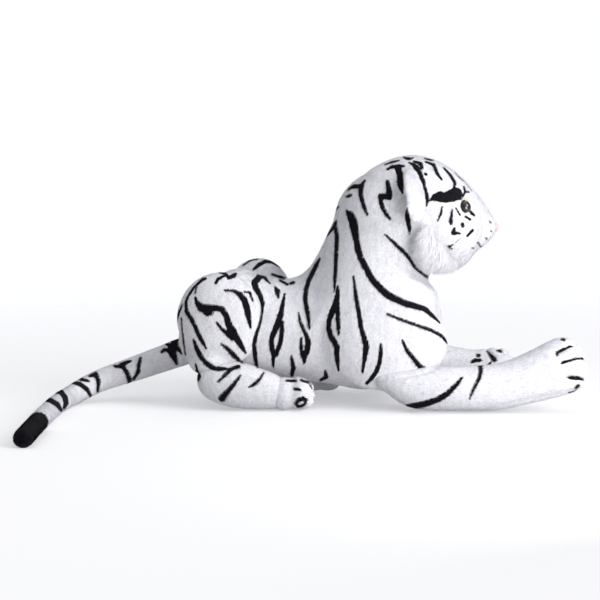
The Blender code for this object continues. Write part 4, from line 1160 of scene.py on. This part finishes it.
dress(torso, "torso", "root")
dress(head, ("head", "muzzle", "chin"), "head")
for label in sideOf:
    dress(thighs[label], f"thigh_{label}", "root")
    dress(shins[label], f"shin_{label}", "root")
    dress(paws[label], f"hind_paw_{label}", f"hind_paw_{label}")
    dress(forelegs[label], f"foreleg_{label}", f"foreleg_{label}")
    dress(ears[label], f"ear_{label}", f"ear_{label}")
    dress(ruffs[label], f"cheek_ruff_{label}", "head")
dress(tails[3], "tail_end", "tail_end")
dress(tailCap, "tail_tip", "tail_end")
remove(shortHair, longHair)
print("fur grown")


feltDepth = 0.0003


def felt(name, shade, colour, rough, grain=0.0006, relief=0.6, **more):
    made = Recipe(name)
    speck = made.noise(grain, 3.0)
    made.bump(speck, feltDepth, relief)
    return made.finish(Base_Color=made.mix(speck, shade, colour), Roughness=rough, **more)


# Eyes of glossy plastic, each with a dark felt rim and a tan lid
eyeLook = {"turn": math.radians(53.0), "tilt": math.radians(14.0), "pupil": 0.0034, "blur": 0.0003,
           "irisEnd": (0.0048, 0.0056), "fleck": 1.0 / 900.0, "iris": (0.045, 0.030, 0.020),
           "pupilColour": (0.002, 0.002, 0.002), "edgeColour": (0.004, 0.003, 0.003), "behind": 0.0052}
rimLook = {"radius": 0.0067, "wide": 0.0018, "tall": 0.0013, "from": 0.0, "to": 360.0,
           "shade": (0.004, 0.004, 0.004), "colour": (0.010, 0.009, 0.009)}
lidLook = {"radius": 0.0082, "wide": 0.0030, "tall": 0.0014, "lift": 0.0004, "colour": (0.74, 0.65, 0.53)}
lidAngles = {"right": {"from": 15.0, "to": 115.0}, "left": {"from": 65.0, "to": 165.0}}
tanFelt = felt("tan_felt", darker(lidLook["colour"], 0.8), lidLook["colour"], 0.9)
darkFelt = felt("black_felt", rimLook["shade"], rimLook["colour"], 0.85)


def crescent(name, centre, frameOf, look, material):
    # A padded felt strip along part of the eye's edge, thin at both ends
    steps, sides, blunt = 28, 10, 0.03
    points = []
    for step in range(steps + 1):
        part = step / steps
        angle = math.radians(look["from"] + (look["to"] - look["from"]) * part)
        full = math.sin(math.pi * min(max(part, blunt), 1.0 - blunt)) ** 0.6
        for side in range(sides):
            turn = 2.0 * math.pi * side / sides
            ring = look["radius"] + look["wide"] * full * math.cos(turn) / 2.0
            height = look["tall"] * full * math.sin(turn)
            points.append(centre + frameOf @ Vector((ring * math.cos(angle), ring * math.sin(angle), height)))
    faces = [(a, d, c, b) for a, b, c, d in tubeFaces(steps + 1, sides)]
    faces.append(tuple(range(sides)))
    faces.append(tuple(reversed(range(steps * sides, (steps + 1) * sides))))
    made = fromPoints(name, points, faces)
    coat(made, material)
    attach(made, "head")


for label, side in sideOf.items():
    level = math.cos(eyeLook["tilt"])
    look = headPlace.to_3x3() @ Vector((level * math.cos(eyeLook["turn"]),
                                        side * level * math.sin(eyeLook["turn"]), math.sin(eyeLook["tilt"])))
    corners = vertices(nodes[f"eye_{label}"])
    apex = Vector(corners[np.argmax(corners @ np.array(look))])
    glass = Recipe(f"eye_glass_{label}")
    off = glass.vector("SUBTRACT", glass.place(), tuple(apex))
    radius = glass.vector("LENGTH", glass.vector("CROSS_PRODUCT", off, tuple(look)), out="Value")
    fleck = glass.noise(eyeLook["fleck"])
    iris = glass.mix(fleck, darker(eyeLook["iris"], 0.45), eyeLook["iris"])
    pupilEdge = radius.step(eyeLook["pupil"] - eyeLook["blur"], eyeLook["pupil"] + eyeLook["blur"])
    colour = glass.mix(pupilEdge, eyeLook["pupilColour"], iris)
    colour = glass.mix(radius.step(*eyeLook["irisEnd"]), colour, eyeLook["edgeColour"])
    glass.finish(Base_Color=colour, Roughness=0.04, Coat_Weight=1.0, Coat_Roughness=0.02)
    coat(nodes[f"eye_{label}"], glass.material)
    up = (Vector((0.0, 0.0, 1.0)) - look * look.z).normalized()
    frameOf = Matrix((up.cross(look).normalized(), up, look)).transposed()
    rim = apex - look * eyeLook["behind"]
    crescent(f"eye_rim_{label}", rim, frameOf, rimLook, darkFelt)
    lid = rim + look * lidLook["lift"]
    crescent(f"eye_lid_{label}", lid, frameOf, {**lidLook, **lidAngles[label]}, tanFelt)

# Nose, wider at the top; washers and the folded neck seam
noseLook = {"centre": (0.1115, 0.0, 0.0000), "half": (0.0052, 0.0084, 0.0064), "flare": 55.0,
            "shade": (0.78, 0.45, 0.46), "colour": (0.88, 0.60, 0.60), "grain": 0.0007, "relief": 0.5}
washerLook = {"shade": (0.76, 0.76, 0.74), "colour": (0.82, 0.82, 0.80), "grain": 0.004}
seamLook = {"shade": (0.62, 0.62, 0.64), "colour": (0.74, 0.74, 0.76), "ribs": 500.0, "wander": 1.5}
nose = ball("nose_cover", still, noseLook["half"])
points = vertices(nose)
points[:, 1] *= 1.0 + points[:, 2] * noseLook["flare"]
setVertices(nose, points + np.array(noseLook["centre"]))
inHead(nose)
nose.data.shade_smooth()
coat(nose, felt("pink_felt", noseLook["shade"], noseLook["colour"], 0.65, noseLook["grain"],
                noseLook["relief"], Sheen_Weight=0.1))
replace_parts(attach(nose, "head"), "nose")

washer = Recipe("washer_plastic")
speck = washer.noise(washerLook["grain"])
washer.finish(Base_Color=washer.mix(speck, washerLook["shade"], washerLook["colour"]), Roughness=0.45)
cloth = Recipe("seam_cloth")
weave = cloth.node("TexWave", {"bands_direction": "Z"},
                   {"Vector": cloth.place(), "Scale": seamLook["ribs"], "Distortion": seamLook["wander"]})
cloth.bump(weave, 0.0002, 0.5)
cloth.finish(Base_Color=cloth.mix(weave, seamLook["shade"], seamLook["colour"]), Roughness=0.9)
for name, made in (("eye_washer_right", washer), ("eye_washer_left", washer), ("neck_seam", cloth)):
    coat(nodes[name], made.material)
print("eyes and nose made")

# Floor of pale paper that fades out with distance, and a white room
roomLook = {"floor": 2.2, "paper": (0.96, 0.96, 0.96), "fadeFrom": 0.5, "fadeTo": 1.5, "clearNear": 0.4,
            "air": (0.96, 0.97, 1.0), "glow": 0.36, "backdrop": 1.05}
shape = bmesh.new()
bmesh.ops.create_circle(shape, cap_ends=True, segments=96, radius=roomLook["floor"])
floor = fromShape("floor", shape)
ground = Recipe("floor_paper")
away = ground.vector("LENGTH", ground.place(), out="Value")
fade = away.step(roomLook["fadeFrom"], roomLook["fadeTo"])
fade = fade * (1.0 - roomLook["clearNear"]) + roomLook["clearNear"]
paper = Value(ground.tree, ground.surface.outputs["BSDF"])
shown = ground.node("MixShader", inputs={0: fade, 1: paper, 2: ground.node("BsdfTransparent")})
feed(ground.tree, ground.tree.nodes["Material Output"].inputs["Surface"], shown)
coat(floor, ground.finish(Base_Color=roomLook["paper"], Roughness=0.9))

world = bpy.data.worlds.new("studio")
bpy.context.scene.world = world
world.use_nodes = True
air = world.node_tree
rays = addNode(air, "ShaderNodeLightPath", out="Is Camera Ray")
glow = addNode(air, "ShaderNodeMapRange",
               inputs={"Value": rays, "To Min": roomLook["glow"], "To Max": roomLook["backdrop"]})
feed(air, air.nodes["Background"].inputs["Color"], roomLook["air"])
feed(air, air.nodes["Background"].inputs["Strength"], glow)
bpy.context.scene.view_settings.view_transform = "Standard"

# Two suns, each by the way to it, and a small soft light ahead and to the right, aimed at the chest
suns = {"key": {"way": (0.76, -0.42, 0.48), "strength": 1.80, "spread": 35.0, "colour": (1.0, 0.985, 0.985)},
        "top": {"way": (-0.1, 0.0, 1.0), "strength": 1.0, "spread": 90.0, "colour": (0.98, 0.98, 1.0)}}
frontLook = {"size": 0.30, "power": 2.0, "colour": (1.0, 0.99, 0.99), "place": (0.42, -0.37, 0.14),
             "aim": (0.14, 0.06, 0.15)}
for name, look in suns.items():
    light = bpy.data.lights.new(name, "SUN")
    light.energy, light.angle, light.color = look["strength"], math.radians(look["spread"]), look["colour"]
    addObject(name, light).rotation_euler = Vector(look["way"]).to_track_quat("Z", "Y").to_euler()
light = bpy.data.lights.new("front", "AREA")
light.size, light.energy, light.color = frontLook["size"], frontLook["power"], frontLook["colour"]
front = addObject("front", light)
front.location = Vector(frontLook["place"])
front.rotation_euler = (front.location - Vector(frontLook["aim"])).to_track_quat("Z", "Y").to_euler()

lens = bpy.data.cameras.new("camera")
lens.lens = view["lens"]
camera = addObject("camera", lens)
aim = Vector(middle) + Vector((0.0, 0.0, view["height"]))
camera.location = aim + view["away"] * Vector((0.0, -viewAlong, viewUp))
camera.rotation_euler = (aim - camera.location).to_track_quat("-Z", "Y").to_euler()
bpy.context.scene.camera = camera
